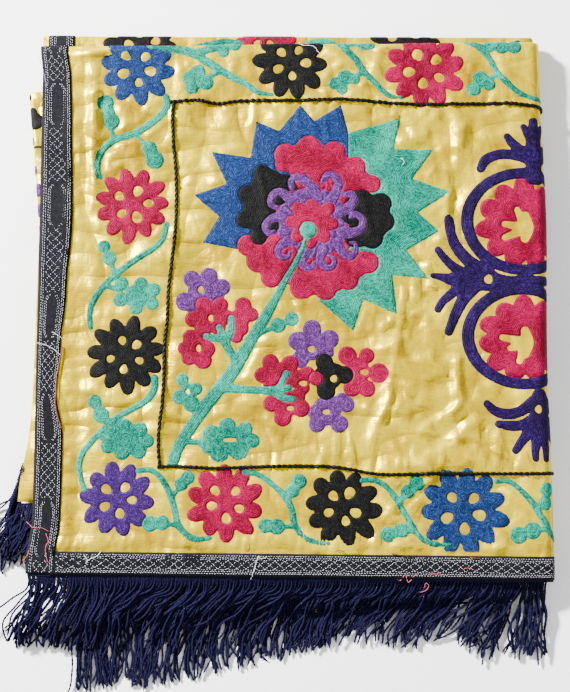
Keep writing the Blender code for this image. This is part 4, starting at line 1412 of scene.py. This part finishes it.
# %% Tape material
def make_tape_cloth():
    """Build the black woven tape, ribbed across and a little dusty."""
    finish = Finish("tape_black", 0.66, 0.06)
    ribs = finish.add("ShaderNodeTexWave", wave_type="BANDS", bands_direction="DIAGONAL", wave_profile="SIN")
    finish.feed(ribs, Vector=finish.flat_map(1.0, 1.0), Scale=420.0, Distortion=1.2, Detail=1.0)
    dust = finish.noise(finish.flat_map(), 260.0, 3.0, 0.6)
    finish.colour(finish.ramp(dust, (0.3, linear(9, 9, 11)), (0.6, linear(18, 18, 22)),
                              (0.8, linear(34, 35, 44))))
    finish.bump(finish.math("ADD", ribs.outputs["Fac"], finish.math("MULTIPLY", dust, 0.8)), 0.5, 0.0004)
    return finish.material


tape_cloth = make_tape_cloth()

# %% Fold a band of tape
TAPE_LOW = SATIN_HALF + 0.0001
TAPE_HIGH = SATIN_HALF + 0.0009


def band(name, left, right, finish, crown=0.0002):
    """Fold a band between two flat edges, given as rows of places along it, into a closed sheet."""
    left, right = np.asarray(left, float), np.asarray(right, float)
    steps = 6
    shares = np.linspace(0.0, 1.0, steps + 1)
    flat = (left[:, None] * (1 - shares)[:, None] + right[:, None] * shares[:, None]).reshape(-1, 2)
    rows = len(left)
    triangles = []
    for j in range(rows - 1):
        for i in range(steps):
            a = j * (steps + 1) + i
            triangles += [(a, a + 1, a + steps + 2), (a, a + steps + 2, a + steps + 1)]
    crowned = crown * np.tile(np.sqrt(1 - (2 * shares - 1) ** 2), rows)
    bed = relief(flat[:, 0], flat[:, 1])
    return shell(name, flat, np.array(triangles), bed + TAPE_HIGH + crowned, bed + TAPE_LOW, finish)


def tape_rows(v_fine):
    """Give the stations across the cloth, close together over the top fold."""
    top_end = TOP_WIDTH + math.pi * TOP_RADIUS
    return np.array(stations([0.0, TOP_WIDTH, top_end, CLOTH_WIDTH], [v_fine, 0.0006, 0.014]))


def hem_stations(start, end, top_size):
    """Give the stations along a hem, close together in the bends."""
    marks = [start, *fold_marks(0.0), end]
    return np.array(stations(marks, [top_size, 0.003, 0.014, 0.0022, 0.014, 0.004, 0.014]))


# %% The four tapes
EDGE = 0.0012
across = tape_rows(0.0035)
widths = end_tape_width(across)
end_tape_top = band("end_tape_top_woven", np.column_stack([across * 0 - EDGE, across]),
                    np.column_stack([widths, across]), tape_cloth)
sewn = CLOTH_LENGTH - INNER_MARGIN
end_tape_inner = band("end_tape_inner_woven", np.column_stack([sewn - widths, across]),
                      np.column_stack([across * 0 + sewn, across]), tape_cloth)
along = hem_stations(0.024, sewn - 0.028, 0.0035)
hem_tape_front = band("hem_tape_front_woven", np.column_stack([along, along * 0 - EDGE]),
                      np.column_stack([along, along * 0 + HEM_TAPE]), tape_cloth)
hem_tape_back = band("hem_tape_back_woven", np.column_stack([along, along * 0 + CLOTH_WIDTH - HEM_TAPE]),
                     np.column_stack([along, along * 0 + CLOTH_WIDTH + EDGE]), tape_cloth)
tapes = {"end_tape_top": end_tape_top, "end_tape_inner": end_tape_inner,
         "hem_tape_front": hem_tape_front, "hem_tape_back": hem_tape_back}
for node, piece in tapes.items():
    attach(piece, "root")
    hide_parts(node)
print("tapes:", [piece.name for piece in tapes.values()])

# %% [markdown]
# ## White machine stitches
#
# The machine has sewn each tape with two running lines along each edge. Between them the hem tape has
# waves that cross each other, and the end tape changes between a lattice and plain double lines. Each
# stitch is modelled on its own: a short thread, thick in the middle, that dips into the tape at its ends.

# %% White thread
def make_white_thread():
    """Build the white thread of the machine stitches."""
    finish = Finish("thread_white", 0.55, 0.30)
    dust = finish.noise(finish.flat_map(), 900.0, 2.0, 0.6)
    finish.colour(finish.ramp(dust, (0.3, linear(150, 152, 164)), (0.7, linear(226, 226, 234))))
    return finish.material


white_thread = make_white_thread()

# %% Cut a line into stitches
STITCH = 0.0025
STITCH_GAP = 0.0004
STITCH_HALF = 0.00025
STITCH_RISE = 0.00038


def stitches_along(line, dice):
    """Give the starts and ends of the stitches along a flat line."""
    line = np.asarray(line, float)
    gone = length_along(line)
    starts = np.arange(dice.uniform(0.0, STITCH), gone[-1] - STITCH, STITCH + STITCH_GAP)
    starts = starts + dice.normal(0.0, 0.00010, len(starts))
    ends = starts + STITCH + dice.normal(0.0, 0.00012, len(starts))
    at = [np.column_stack([np.interp(s, gone, line[:, k]) for k in (0, 1)]) for s in (starts, ends)]
    wander = dice.normal(0.0, 0.00012, (len(starts), 2))
    return at[0] + wander, at[1] + wander


def sew_stitches(name, pairs, level):
    """Make all stitches of a tape as one mesh of small threads."""
    start = np.concatenate([pair[0] for pair in pairs])
    end = np.concatenate([pair[1] for pair in pairs])
    middle = (start + end) / 2
    run = end - start
    run /= np.maximum(np.hypot(*run.T), 1e-9)[:, None]
    side = np.column_stack([-run[:, 1], run[:, 0]]) * STITCH_HALF
    rows = [(start, -0.0001), (middle - side, 0.00008), (middle + side, 0.00008),
            (middle, STITCH_RISE), (end, -0.0001)]
    flat = np.stack([row[0] for row in rows], 1).reshape(-1, 2)
    rise = np.tile([row[1] for row in rows], len(start))
    height = level(flat) + rise + relief(flat[:, 0], flat[:, 1])
    shape = [(0, 1, 3), (0, 3, 2), (0, 2, 1), (4, 3, 1), (4, 2, 3), (4, 1, 2)]
    faces = (np.arange(len(start))[:, None, None] * 5 + np.array(shape)).reshape(-1, 3)
    return add_mesh(name, folded(np.column_stack([flat, height])), faces, white_thread, flat, smooth=False)


def crown_level(flat):
    """Give the height of a tape's face, near enough to its crown."""
    return np.full(len(flat), TAPE_HIGH + 0.00014)


# %% Lines on the hem tapes
LINE_STEP = 0.0012
WAVE_RUN = 0.0430
WAVE_PHASES = (0.0, 0.25, 0.5, 0.75)
WAVE_MIDDLE = 0.0116
WAVE_SWING = 0.0058
RUNNING_LINES = [0.0024, 0.0042, 0.0188, 0.0207]


def hem_lines(start, end, dice):
    """Give the running lines and the crossing waves along a hem tape, measured from its outer edge."""
    along = np.arange(start, end, LINE_STEP)
    lines = []
    for place in RUNNING_LINES:
        wander = 0.0002 * soft_noise(along / MM, along * 0, 40.0, int(place * 1e4))
        lines.append(np.column_stack([along, place + wander]))
    for phase in WAVE_PHASES:
        drift = 0.5 * soft_noise(along / MM, along * 0, 90.0, 31)
        swing = np.sin(2 * math.pi * (along / WAVE_RUN + phase) + drift)
        lines.append(np.column_stack([along, WAVE_MIDDLE + WAVE_SWING * swing]))
    return [stitches_along(line, dice) for line in lines]


# %% Lines on the end tapes
LATTICES = [(0.0, 0.016), (0.077, 0.139), (0.192, 0.250), (0.300, 0.373), (0.423, 0.487)]
LATTICES += [(0.539, 0.571), (0.64, 0.70), (0.76, 0.82), (0.88, 0.94), (1.00, 1.06)]
LATTICE_RUN = 0.0370
LATTICE_SWING = 0.29
EDGE_LINES = (0.085, 0.150, 0.850, 0.915)
PLAIN_SPREAD = (0.08, 0.16)
PLAIN_TAPER = 0.007
LANE_APART = 0.06


def end_lines(low_edge, dice):
    """Give the lines of an end tape: running ones at its edges, and lattices with plain stretches."""
    across = np.arange(0.0008, CLOTH_WIDTH - 0.001, LINE_STEP)
    width = end_tape_width(across)
    lines = []
    for share in EDGE_LINES:
        lines.append(np.column_stack([low_edge(across) + width * share, across]))
    inside = np.zeros(len(across), bool)
    for start, end in LATTICES:
        part = (across > start) & (across < end)
        inside |= part
        for phase in (0.0, 0.5, 0.25, 0.75):
            swing = 1 - 4 * np.abs((across / LATTICE_RUN + phase) % 1.0 - 0.5)
            place = low_edge(across) + width * (0.5 + LATTICE_SWING * swing)
            lines.append(np.column_stack([place, across])[part])
    for (_, start), (end, _) in zip(LATTICES, LATTICES[1:]):
        part = (across >= start) & (across <= end)
        if part.sum() < 4:
            continue
        inward = np.clip(np.minimum(across - start, end - across) / PLAIN_TAPER, 0.0, 1.0)
        spread_out = PLAIN_SPREAD[0] + PLAIN_SPREAD[1] * inward
        for side in (-1, 1):
            for lane in (0.0, LANE_APART):
                place = low_edge(across) + width * (0.5 + side * (spread_out - lane + LANE_APART / 2))
                lines.append(np.column_stack([place, across])[part])
    return [stitches_along(line, dice) for line in lines]


# %% Sew them
dice = np.random.default_rng(8)
FROM_END = 0.030
front = hem_lines(FROM_END, sewn - FROM_END, dice)
rear = [tuple(np.column_stack([p[:, 0], CLOTH_WIDTH - p[:, 1]]) for p in pair)
        for pair in hem_lines(FROM_END, sewn - FROM_END, dice)]
upper = end_lines(lambda v: v * 0, dice)
hidden = end_lines(lambda v: sewn - end_tape_width(v), dice)
sewing = {}
for label, pairs in (("hem_front", front), ("hem_back", rear), ("end_top", upper), ("end_inner", hidden)):
    sewing[label] = sew_stitches("stitches_" + label, pairs, crown_level)
    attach(sewing[label], "root")
    print(label, len(sewing[label].data.polygons) // 6, "stitches")


# %% [markdown]
# ## The fringe
#
# The fringe is navy cotton yarn of two plies twisted together. Each yarn is one slim tube whose oval
# section turns as it runs, which gives the twisted look with few faces. The yarns leave the hem side by
# side, were combed to the left by the hand that folded the cloth, and cross each other in loose layers.

# %% Yarn material
def make_yarn():
    """Build the navy yarn, fuzzy and a little uneven in colour, with painted shade in the hollows of its fuzz."""
    finish = Finish("yarn_navy", 0.75, 0.05)
    twist = finish.add("ShaderNodeTexWave", wave_type="BANDS", bands_direction="DIAGONAL", wave_profile="SIN")
    finish.feed(twist, Vector=finish.flat_map(1.0, 1.0), Scale=1.0, Distortion=0.6, Detail=1.0)
    tint = finish.noise(finish.flat_map(0.02, 3.0), 1.0, 2.0, 0.6)
    fuzz = finish.noise(finish.flat_map(0.9, 3.0), 1.0, 3.0, 0.6)
    base = finish.ramp(tint, (0.30, linear(10, 9, 25)), (0.52, linear(18, 17, 45)),
                       (0.72, linear(36, 34, 76)))
    # Painted shade: the colour is darkened where the fuzz bump is low, in its hollows.
    painted_fuzz_shade = finish.ramp(fuzz, (0.3, (0.45, 0.45, 0.5)), (0.7, (1.0, 1.0, 1.0)))
    finish.colour(finish.mix("MULTIPLY", 0.75, base, painted_fuzz_shade))
    finish.bump(finish.math("ADD", twist.outputs["Fac"], finish.math("MULTIPLY", fuzz, 0.6)), 0.55, 0.0005)
    return finish.material


yarn_navy = make_yarn()

# %% How the yarns lie
COMB_LEFT = 0.40
COMB_MIDDLE = 0.52
COMB_WAVE = 0.12
YARN_LENGTH = 0.080
YARN_HALF = 0.00094
YARN_FLATNESS = 1.38
LOW_FLATNESS = 1.36
YARN_SIDES = 5
LOW_SIDES = 4
TWIST_RUN = 0.0075
TURN_RUN = 0.024
LEFT_REACH = -0.310
LEAST_HEIGHT = 0.0014


def sweep_at(x):
    """Give how far the yarns are combed to the left, by their place along the front."""
    middle = ease((x + 0.24) / 0.12) * falling(x, (0.27, 0.14))
    return COMB_LEFT + COMB_MIDDLE * middle - 0.25 * ease((x - 0.20) / 0.08) + COMB_WAVE * wave(x, 0.16)


def length_at(x):
    """Let the ends of the yarns rise and fall along the front."""
    return YARN_LENGTH + 0.004 * wave(x, 0.11) + 0.003 * wave(x, 0.037)


def low_hem_lead(x):
    """Give how far the turned lower plies stand out past the top ply's hem."""
    return np.maximum(0.0, (RIGHT_PLACE + CORNER_X - x) * math.tan(2 * RIGHT_TURN))


def smooth_line(knots, values, places):
    """Read values between knots with eased steps."""
    k = np.clip(np.searchsorted(knots, places) - 1, 0, len(knots) - 2)
    knots, values = np.asarray(knots), np.asarray(values)
    share = (places - knots[k]) / (knots[k + 1] - knots[k])
    return values[k] + (values[k + 1] - values[k]) * ease(share)


def yarn_path(root, heading, sweep, length, knots, heights, wiggle, steps, dice):
    """Lead a yarn from its root, turning as it goes, with a small wiggle of its own."""
    places = np.linspace(0.0, length, steps)
    phase = dice.uniform(0.0, 6.28, 3)
    turn = heading - sweep * ease(places / TURN_RUN)
    turn = turn + (0.55 * sweep + dice.normal(0.0, 0.35)) * ease((places - length + 0.030) / 0.030)
    turn = turn + wiggle * (np.sin(places / 0.012 + phase[0]) + 0.6 * np.sin(places / 0.0055 + phase[1]))
    turn = turn - wiggle * (math.sin(phase[0]) + 0.6 * math.sin(phase[1])) * np.exp(-places / 0.01)
    run = places[1] - places[0]
    x = root[0] + np.concatenate([[0.0], np.cumsum(np.cos(turn[:-1]) * run)])
    y = root[1] + np.concatenate([[0.0], np.cumsum(np.sin(turn[:-1]) * run)])
    z = smooth_line(knots, heights, places)
    held = np.clip(LEFT_REACH - x, 0.0, None)
    x = np.maximum(x, LEFT_REACH) - 0.009 * (1 - np.exp(-held / 0.009))
    return np.column_stack([x, y, np.maximum(z, LEAST_HEIGHT)])


def twist_yarn(bundle, path, dice, flatness=YARN_FLATNESS, sides=YARN_SIDES):
    """Twist a yarn round its path and add it to a bundle."""
    bundle.take(*yarn_tube(path, YARN_HALF, flatness, sides, TWIST_RUN, dice.uniform(0, 6.28)))


# %% The yarns of the front hem
FRINGE_PITCH = 0.00235
ROOT_IN = 0.0015


def root_of(u, edge, way, h=0.0):
    """Give where a yarn leaves the hem and which way it points."""
    near = np.array([[u, edge - way * ROOT_IN, h], [u, edge + way * 0.004, h]])
    out, back = folded(near)
    return out, math.atan2(out[1] - back[1], out[0] - back[0])


def raw_x(point):
    """Give a place along the front in the frame that the combing is measured in."""
    return point[0] + FOOT_X


def top_yarn(u, layer, dice, bundle, clumps):
    """Add one yarn of the top ply, which runs over the lower plies and drops past their hem."""
    root, heading = root_of(u, 0.0, 1.0, -0.0002 - 0.0004 * min(layer, 1))
    x = raw_x(root)
    lead = low_hem_lead(x) + 0.007
    clump = soft_noise(np.array([x / MM]), np.array([layer * 40.0]), 15.0, clumps)[0]
    fine = soft_noise(np.array([x / MM]), np.array([layer * 40.0]), 5.0, clumps + 1)[0]
    sweep = sweep_at(x) * (0.80 + 0.30 * layer) + 0.55 * clump + 0.25 * fine + dice.normal(0.0, 0.08)
    length = max(length_at(x) + dice.normal(0.0, 0.0040) + 0.007 * clump, lead + 0.026)
    loft = 0.0016 + 0.0034 * dice.random() + 0.0016 * layer
    rest = loft + (0.0045 if x < 0.02 else 0.0018)
    over = 0.0128 + 0.6 * loft
    knots = [0.0, lead * 0.45, lead, lead + 0.020, length + 0.001]
    heights = [root[2], max(0.0165, over) + 0.0012 * layer, over, rest, rest * 0.55 + 0.0008]
    path = yarn_path(root, heading, sweep, length, knots, heights, 0.20, 38, dice)
    twist_yarn(bundle, path, dice)


def low_yarn(u, level, dice, bundle, clumps):
    """Add one yarn of the lower plies, which lies on the floor."""
    root, heading = root_of(u, 0.0, 1.0)
    x = raw_x(root)
    clump = soft_noise(np.array([x / MM]), np.array([level * 55.0]), 15.0, clumps)[0]
    sweep = 0.35 * sweep_at(x) + 0.34 * clump + dice.normal(0.0, 0.14)
    length = length_at(x + 0.05) - 0.004 + dice.normal(0.0, 0.003) - 0.018 * float(ease((x + 0.12) / 0.11))
    loft = 0.0010 + 0.0030 * dice.random()
    knots = [0.0, 0.010, 0.022, length + 0.001]
    heights = [root[2], (root[2] + loft) / 2 + 0.001, loft + 0.0012 * level, loft * 0.8]
    path = yarn_path(root, heading, sweep, length, knots, heights, 0.16, 32, dice)
    twist_yarn(bundle, path, dice, LOW_FLATNESS, LOW_SIDES)


dice = np.random.default_rng(11)
front_top, front_over, front_low = Bundle(), Bundle(), Bundle()
top_end = RIGHT_PLACE + 0.016
for layer, crowd in enumerate((1.0, 1.15, 1.6)):
    for u in np.arange(0.002 + 0.001 * layer, top_end, FRINGE_PITCH * crowd):
        bundle = front_over if layer else front_top
        top_yarn(u + dice.normal(0.0, 0.0005), layer, dice, bundle, 70 + 5 * layer)
marks = fold_marks(0.0)
low_spans = [(marks[2] - 0.300, marks[2] - 0.002), (marks[3] + 0.002, marks[3] + 0.300)]
for level, (start, end) in enumerate(low_spans):
    for u in np.arange(start, end, FRINGE_PITCH * 1.15):
        low_yarn(u, level, dice, front_low, 90 + 5 * level)
fringe_top = front_top.make("fringe_front_top_yarns", yarn_navy)
fringe_over = front_over.make("fringe_front_over_yarns", yarn_navy)
fringe_low = front_low.make("fringe_front_low_yarns", yarn_navy)
print("front fringe:", [len(piece.data.polygons) for piece in (fringe_top, fringe_over, fringe_low)], "faces")

# %% [markdown]
# At the lower left the hidden ply's fringe comes out of the pile. It was rolled when the cloth was folded,
# so a ridged heading runs round the corner before its yarns fall away to the left.

# %% The strips that carry the yarns, and the yarns of the hidden corner
def strip(name, edge, way):
    """Make the narrow band that the yarns are sewn in."""
    along = hem_stations(0.0005, CLOTH_LENGTH - 0.004, 0.0035)
    inner = np.column_stack([along, along * 0 + edge])
    outer = np.column_stack([along, along * 0 + edge - way * 0.003])
    steps = [inner, outer] if way > 0 else [outer, inner]
    flat = np.stack(steps, 1).reshape(-1, 2)
    triangles = []
    for j in range(len(along) - 1):
        a = 2 * j
        triangles += [(a, a + 1, a + 3), (a, a + 3, a + 2)]
    bed = relief(flat[:, 0], flat[:, 1])
    return shell(name, flat, np.array(triangles), bed + 0.0003, bed - 0.0009, yarn_navy)


strip_front = strip("fringe_front_strip", 0.0, 1.0)
strip_back = strip("fringe_back_strip", CLOTH_WIDTH, -1.0)
ROLL = [(-0.2679, -0.1152, 0.014), (-0.27, -0.1238, 0.0135), (-0.2731, -0.1345, 0.0125),
        (-0.2774, -0.1462, 0.0115), (-0.2816, -0.158, 0.0105), (-0.2848, -0.1698, 0.009)]
ROLL_HALF = 0.0028
ROLL_TURNS = 25
ROLL_STEPS = 12


def rolled_heading(bundle, dice):
    """Wind one long yarn closely round a line, as the rolled heading of a fringe looks."""
    knots = np.array(ROLL)
    gone = np.linspace(0.0, len(ROLL) - 1, ROLL_TURNS * ROLL_STEPS)
    middle = np.column_stack([np.interp(gone, range(len(ROLL)), knots[:, k]) for k in range(3)])
    along = np.gradient(middle, axis=0)
    along /= np.linalg.norm(along, axis=1)[:, None]
    side = np.cross(along, (0.0, 0.0, 1.0))
    turn = 2 * math.pi * np.arange(len(middle)) / ROLL_STEPS
    slim = 1 - 0.35 * ease((gone - len(ROLL) + 2.4) / 1.2) - 0.3 * falling(gone, (0.5, 0.5))
    around = side * np.cos(turn)[:, None] + np.cross(side, along) * np.sin(turn)[:, None]
    path = middle + around * (ROLL_HALF * slim * (1 + 0.08 * dice.normal(size=len(turn))))[:, None]
    bundle.take(*yarn_tube(path, 0.00115, 1.15, YARN_SIDES, TWIST_RUN, 0.0))
    return middle


back = Bundle()
roll_line = rolled_heading(back, dice)
for place in np.linspace(0.35, 0.98, 30):
    root = roll_line[int(place * (len(roll_line) - 1))]
    length = 0.062 + dice.normal(0.0, 0.004)
    heights = [root[2], root[2] - 0.002, 0.004 + 0.004 * dice.random(), 0.002]
    path = yarn_path(root, math.radians(-101) + 0.15 * dice.normal(), 0.05 + 0.20 * dice.normal(), length,
                     [0.0, 0.010, 0.034, length + 0.001], heights, 0.18, 30, dice)
    twist_yarn(back, path, dice)
corner_end = float(inner_end(CLOTH_WIDTH))
for number, u in enumerate(np.arange(corner_end - 0.040, corner_end - 0.001, 0.0011)):
    root, heading = root_of(u, CLOTH_WIDTH, -1.0)
    x = raw_x(root)
    lean = 0.34 + 0.16 * dice.normal()
    carried = 0.007 + max(0.0, x + 0.290) / math.sin(0.38)
    length = 0.070 + dice.normal(0.0, 0.003)
    low = min(carried + 0.018, length - 0.004)
    carried = min(carried, low - 0.006)
    heights = [root[2], root[2] + 0.0004 + 0.002 * (number % 2), 0.003 + 0.004 * dice.random(), 0.002]
    path = yarn_path(root, heading - lean, 0.18 + 0.22 * dice.normal(), length,
                     [0.0, carried, low, length + 0.001], heights, 0.18, 34, dice)
    twist_yarn(back, path, dice)
fringe_corner = back.make("fringe_back_yarns", yarn_navy)
fringes = {"fringe_front": [fringe_top, fringe_over, fringe_low, strip_front],
           "fringe_back": [fringe_corner, strip_back]}
for node, pieces in fringes.items():
    for piece in pieces:
        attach(piece, "root")
        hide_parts(node)
print("fringe pieces:", sum(len(pieces) for pieces in fringes.values()))

# %% [markdown]
# ## Loose threads
#
# A sewn cloth sheds thread ends: white ones from the machine, pink and lilac ones from the embroidery. A
# thicker red edge also shows beside the tapes in a few places. They are few and thin, but without them
# the tapes look printed. Each follows a line on the panel and lies just above what is under it.

# %% Lines of the loose threads, on the panel in millimetres, with their half thickness
LOOSE = [
    ("white", 0.23, [(11, 286), (16, 280), (27, 279), (33, 272), (39, 268)]),
    ("white", 0.22, [(-277, -53), (-264, -55), (-253, -61), (-244, -69)]),
    ("white", 0.19, [(-257, -41), (-250, -45), (-244, -50)]),
    ("white", 0.24, [(-33, -281), (-36, -291), (-38, -298), (-41, -306)]),
    ("white", 0.22, [(-33, -281), (-29, -283), (-23, -281)]),
    ("white", 0.23, [(-217, -280), (-213, -285), (-215, -288), (-210, -283), (-204, -281), (-199, -275)]),
    ("white", 0.2, [(123, 152), (127, 147), (124, 143)]),
    ("pink", 0.22, [(-279, -245), (-271, -251), (-263, -251), (-254, -255)]),
    ("pink", 0.24, [(-258, -257), (-255, -265), (-258, -273), (-256, -284), (-254, -288)]),
    ("pink", 0.23, [(-275, -274), (-278, -281), (-281, -285), (-280, -289)]),
    ("pink", 0.26, [(112, -303), (117, -306), (123, -300), (126, -308), (133, -301), (137, -299)]),
    ("pink", 0.23, [(149, -299), (157, -299), (168, -301)]),
    ("pink", 0.24, [(143, -314), (145, -309), (148, -312), (144, -317), (138, -319)]),
    ("pink", 0.22, [(183, -295), (188, -293), (195, -295)]),
    ("red", 0.75, [(-245, -57), (-247, -72), (-250, -88), (-251, -106), (-251, -120), (-248, -134),
                   (-244, -147)]),
    ("red", 0.5, [(50, -275), (54, -275), (59, -276)]),
    ("red", 0.6, [(108, -278), (113, -279), (116, -279)]),
    ("red", 0.5, [(192, -282), (198, -283), (202, -283)]),
    ("lilac", 0.22, [(-279, 268), (-276, 261), (-273, 252), (-270, 241), (-268, 232)]),
]
LOOSE_COLOURS = {"white": (236, 236, 240), "pink": (206, 84, 104), "red": (96, 4, 6),
                 "lilac": (150, 110, 176)}
PANEL_HEM = -297
LOOSE_LIFT = 0.0019
LOOSE_ARCH = 0.0010
LOOSE_SIDES = 5


def loose_path(panel_line, dice):
    """Lay a thread over the panel, or over the fringe where it passes the hem."""
    line = smooth_stroke(np.column_stack([panel_line, np.zeros(len(panel_line))]))[:, :2]
    line = line + dice.normal(0.0, 0.25, line.shape)
    flat = flat_of(line)
    lift = LOOSE_LIFT + LOOSE_ARCH * np.sin(np.linspace(0.0, math.pi, len(line)))
    there = folded(np.column_stack([np.clip(flat, 0.0, None), relief(*flat.T) + lift]))
    past_hem = np.clip(PANEL_HEM - line[:, 1], 0.0, None) * MM
    there[:, :2] = line * MM - (FOOT_X, FOOT_Y)
    there[:, 2] -= np.minimum(past_hem * 0.25, 0.004)
    return there


# %% Lay them down
dice = np.random.default_rng(17)
loose_threads = []
for colour, shown in LOOSE_COLOURS.items():
    finish = Finish("thread_loose_" + colour, 0.6, 0.35, sheen=0.2)
    tint = finish.noise(finish.flat_map(0.5, 0.6), 1.0, 2.0, 0.6)
    darker = tuple(part * 0.82 for part in shown)
    finish.colour(finish.ramp(tint, (0.3, linear(*darker)), (0.7, linear(*shown))))
    bundle = Bundle()
    for kind, half, line in LOOSE:
        if kind == colour:
            bundle.take(*round_tube(loose_path(line, dice), half * MM, LOOSE_SIDES))
    piece = bundle.make("loose_threads_" + colour, finish.material)
    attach(piece, "root")
    loose_threads.append(piece)
print(len(LOOSE), "loose threads")

# %% Gather what goes with the cloth
dressings = [*tapes.values(), *sewing.values(), *embroidery, frame_cord, *loose_threads]
dressings += [piece for pieces in fringes.values() for piece in pieces]

# %% [markdown]
#
# The tapes and fringes go with the satin sheet. The photo looks down on the cloth from nearly straight above, in a
# white room whose light comes from the upper left. A strong area light stands there, a weak one fills from the right,
# and the world is pale.

print("pieces on the sheet:", len(dressings))

# %% Floor and lights
FLOOR_SIZE = 6.0
FLOOR_WHITE = 0.93
KEY_PLACE = (-2.55, 1.75, 1.60)
KEY_SIZE = 0.40
KEY_POWER = 1020.0
FILL_PLACE = (1.6, -0.8, 1.8)
FILL_SIZE = 1.6
FILL_POWER = 30.0
WORLD_STRENGTH = 0.8
bpy.ops.object.select_all(action="DESELECT")
bpy.ops.mesh.primitive_plane_add(size=FLOOR_SIZE, location=(0.0, 0.0, 0.0))
floor = bpy.context.object
floor.name = "floor"
floor_paint = bpy.data.materials.new("floor_white")
floor_paint.use_nodes = True
floor_shader = floor_paint.node_tree.nodes["Principled BSDF"]
floor_shader.inputs["Base Color"].default_value = (*[FLOOR_WHITE] * 3, 1.0)
floor_shader.inputs["Roughness"].default_value = 0.9
floor.data.materials.append(floor_paint)
floor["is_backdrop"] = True


def area_light(name, place, target, size, power):
    """Add a square soft light that looks at a point."""
    lamp = bpy.data.lights.new(name, "AREA")
    lamp.energy = power
    lamp.size = size
    holder = bpy.data.objects.new(name, lamp)
    bpy.context.scene.collection.objects.link(holder)
    holder.location = place
    holder.rotation_euler = (Vector(target) - Vector(place)).to_track_quat("-Z", "Y").to_euler()
    return holder


area_light("key", KEY_PLACE, (0.0, 0.0, 0.0), KEY_SIZE, KEY_POWER)
area_light("fill", FILL_PLACE, (0.0, 0.0, 0.0), FILL_SIZE, FILL_POWER)
world = bpy.data.worlds.new("studio")
world.use_nodes = True
world.node_tree.nodes["Background"].inputs["Color"].default_value = (1.0, 1.0, 1.0, 1.0)
world.node_tree.nodes["Background"].inputs["Strength"].default_value = WORLD_STRENGTH
bpy.context.scene.world = world

# %% Camera
CAMERA_TARGET = Vector((0.0124, 0.0122, 0.0200))
CAMERA_RISE = math.radians(83.3)
CAMERA_DISTANCE = 1.30
CAMERA_LENS = 62.3
lens = bpy.data.cameras.new("camera")
lens.lens = CAMERA_LENS
camera = bpy.data.objects.new("camera", lens)
bpy.context.scene.collection.objects.link(camera)
back_off = Vector((0.0, -math.cos(CAMERA_RISE), math.sin(CAMERA_RISE)))
camera.location = CAMERA_TARGET + back_off * CAMERA_DISTANCE
camera.rotation_euler = (-back_off).to_track_quat("-Z", "Y").to_euler()
bpy.context.scene.camera = camera
print("camera at", [round(c, 3) for c in camera.location])

# %% Measure the scene's box and print it
low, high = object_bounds()
print("box in mm:", [round(c / MM, 1) for c in high - low])
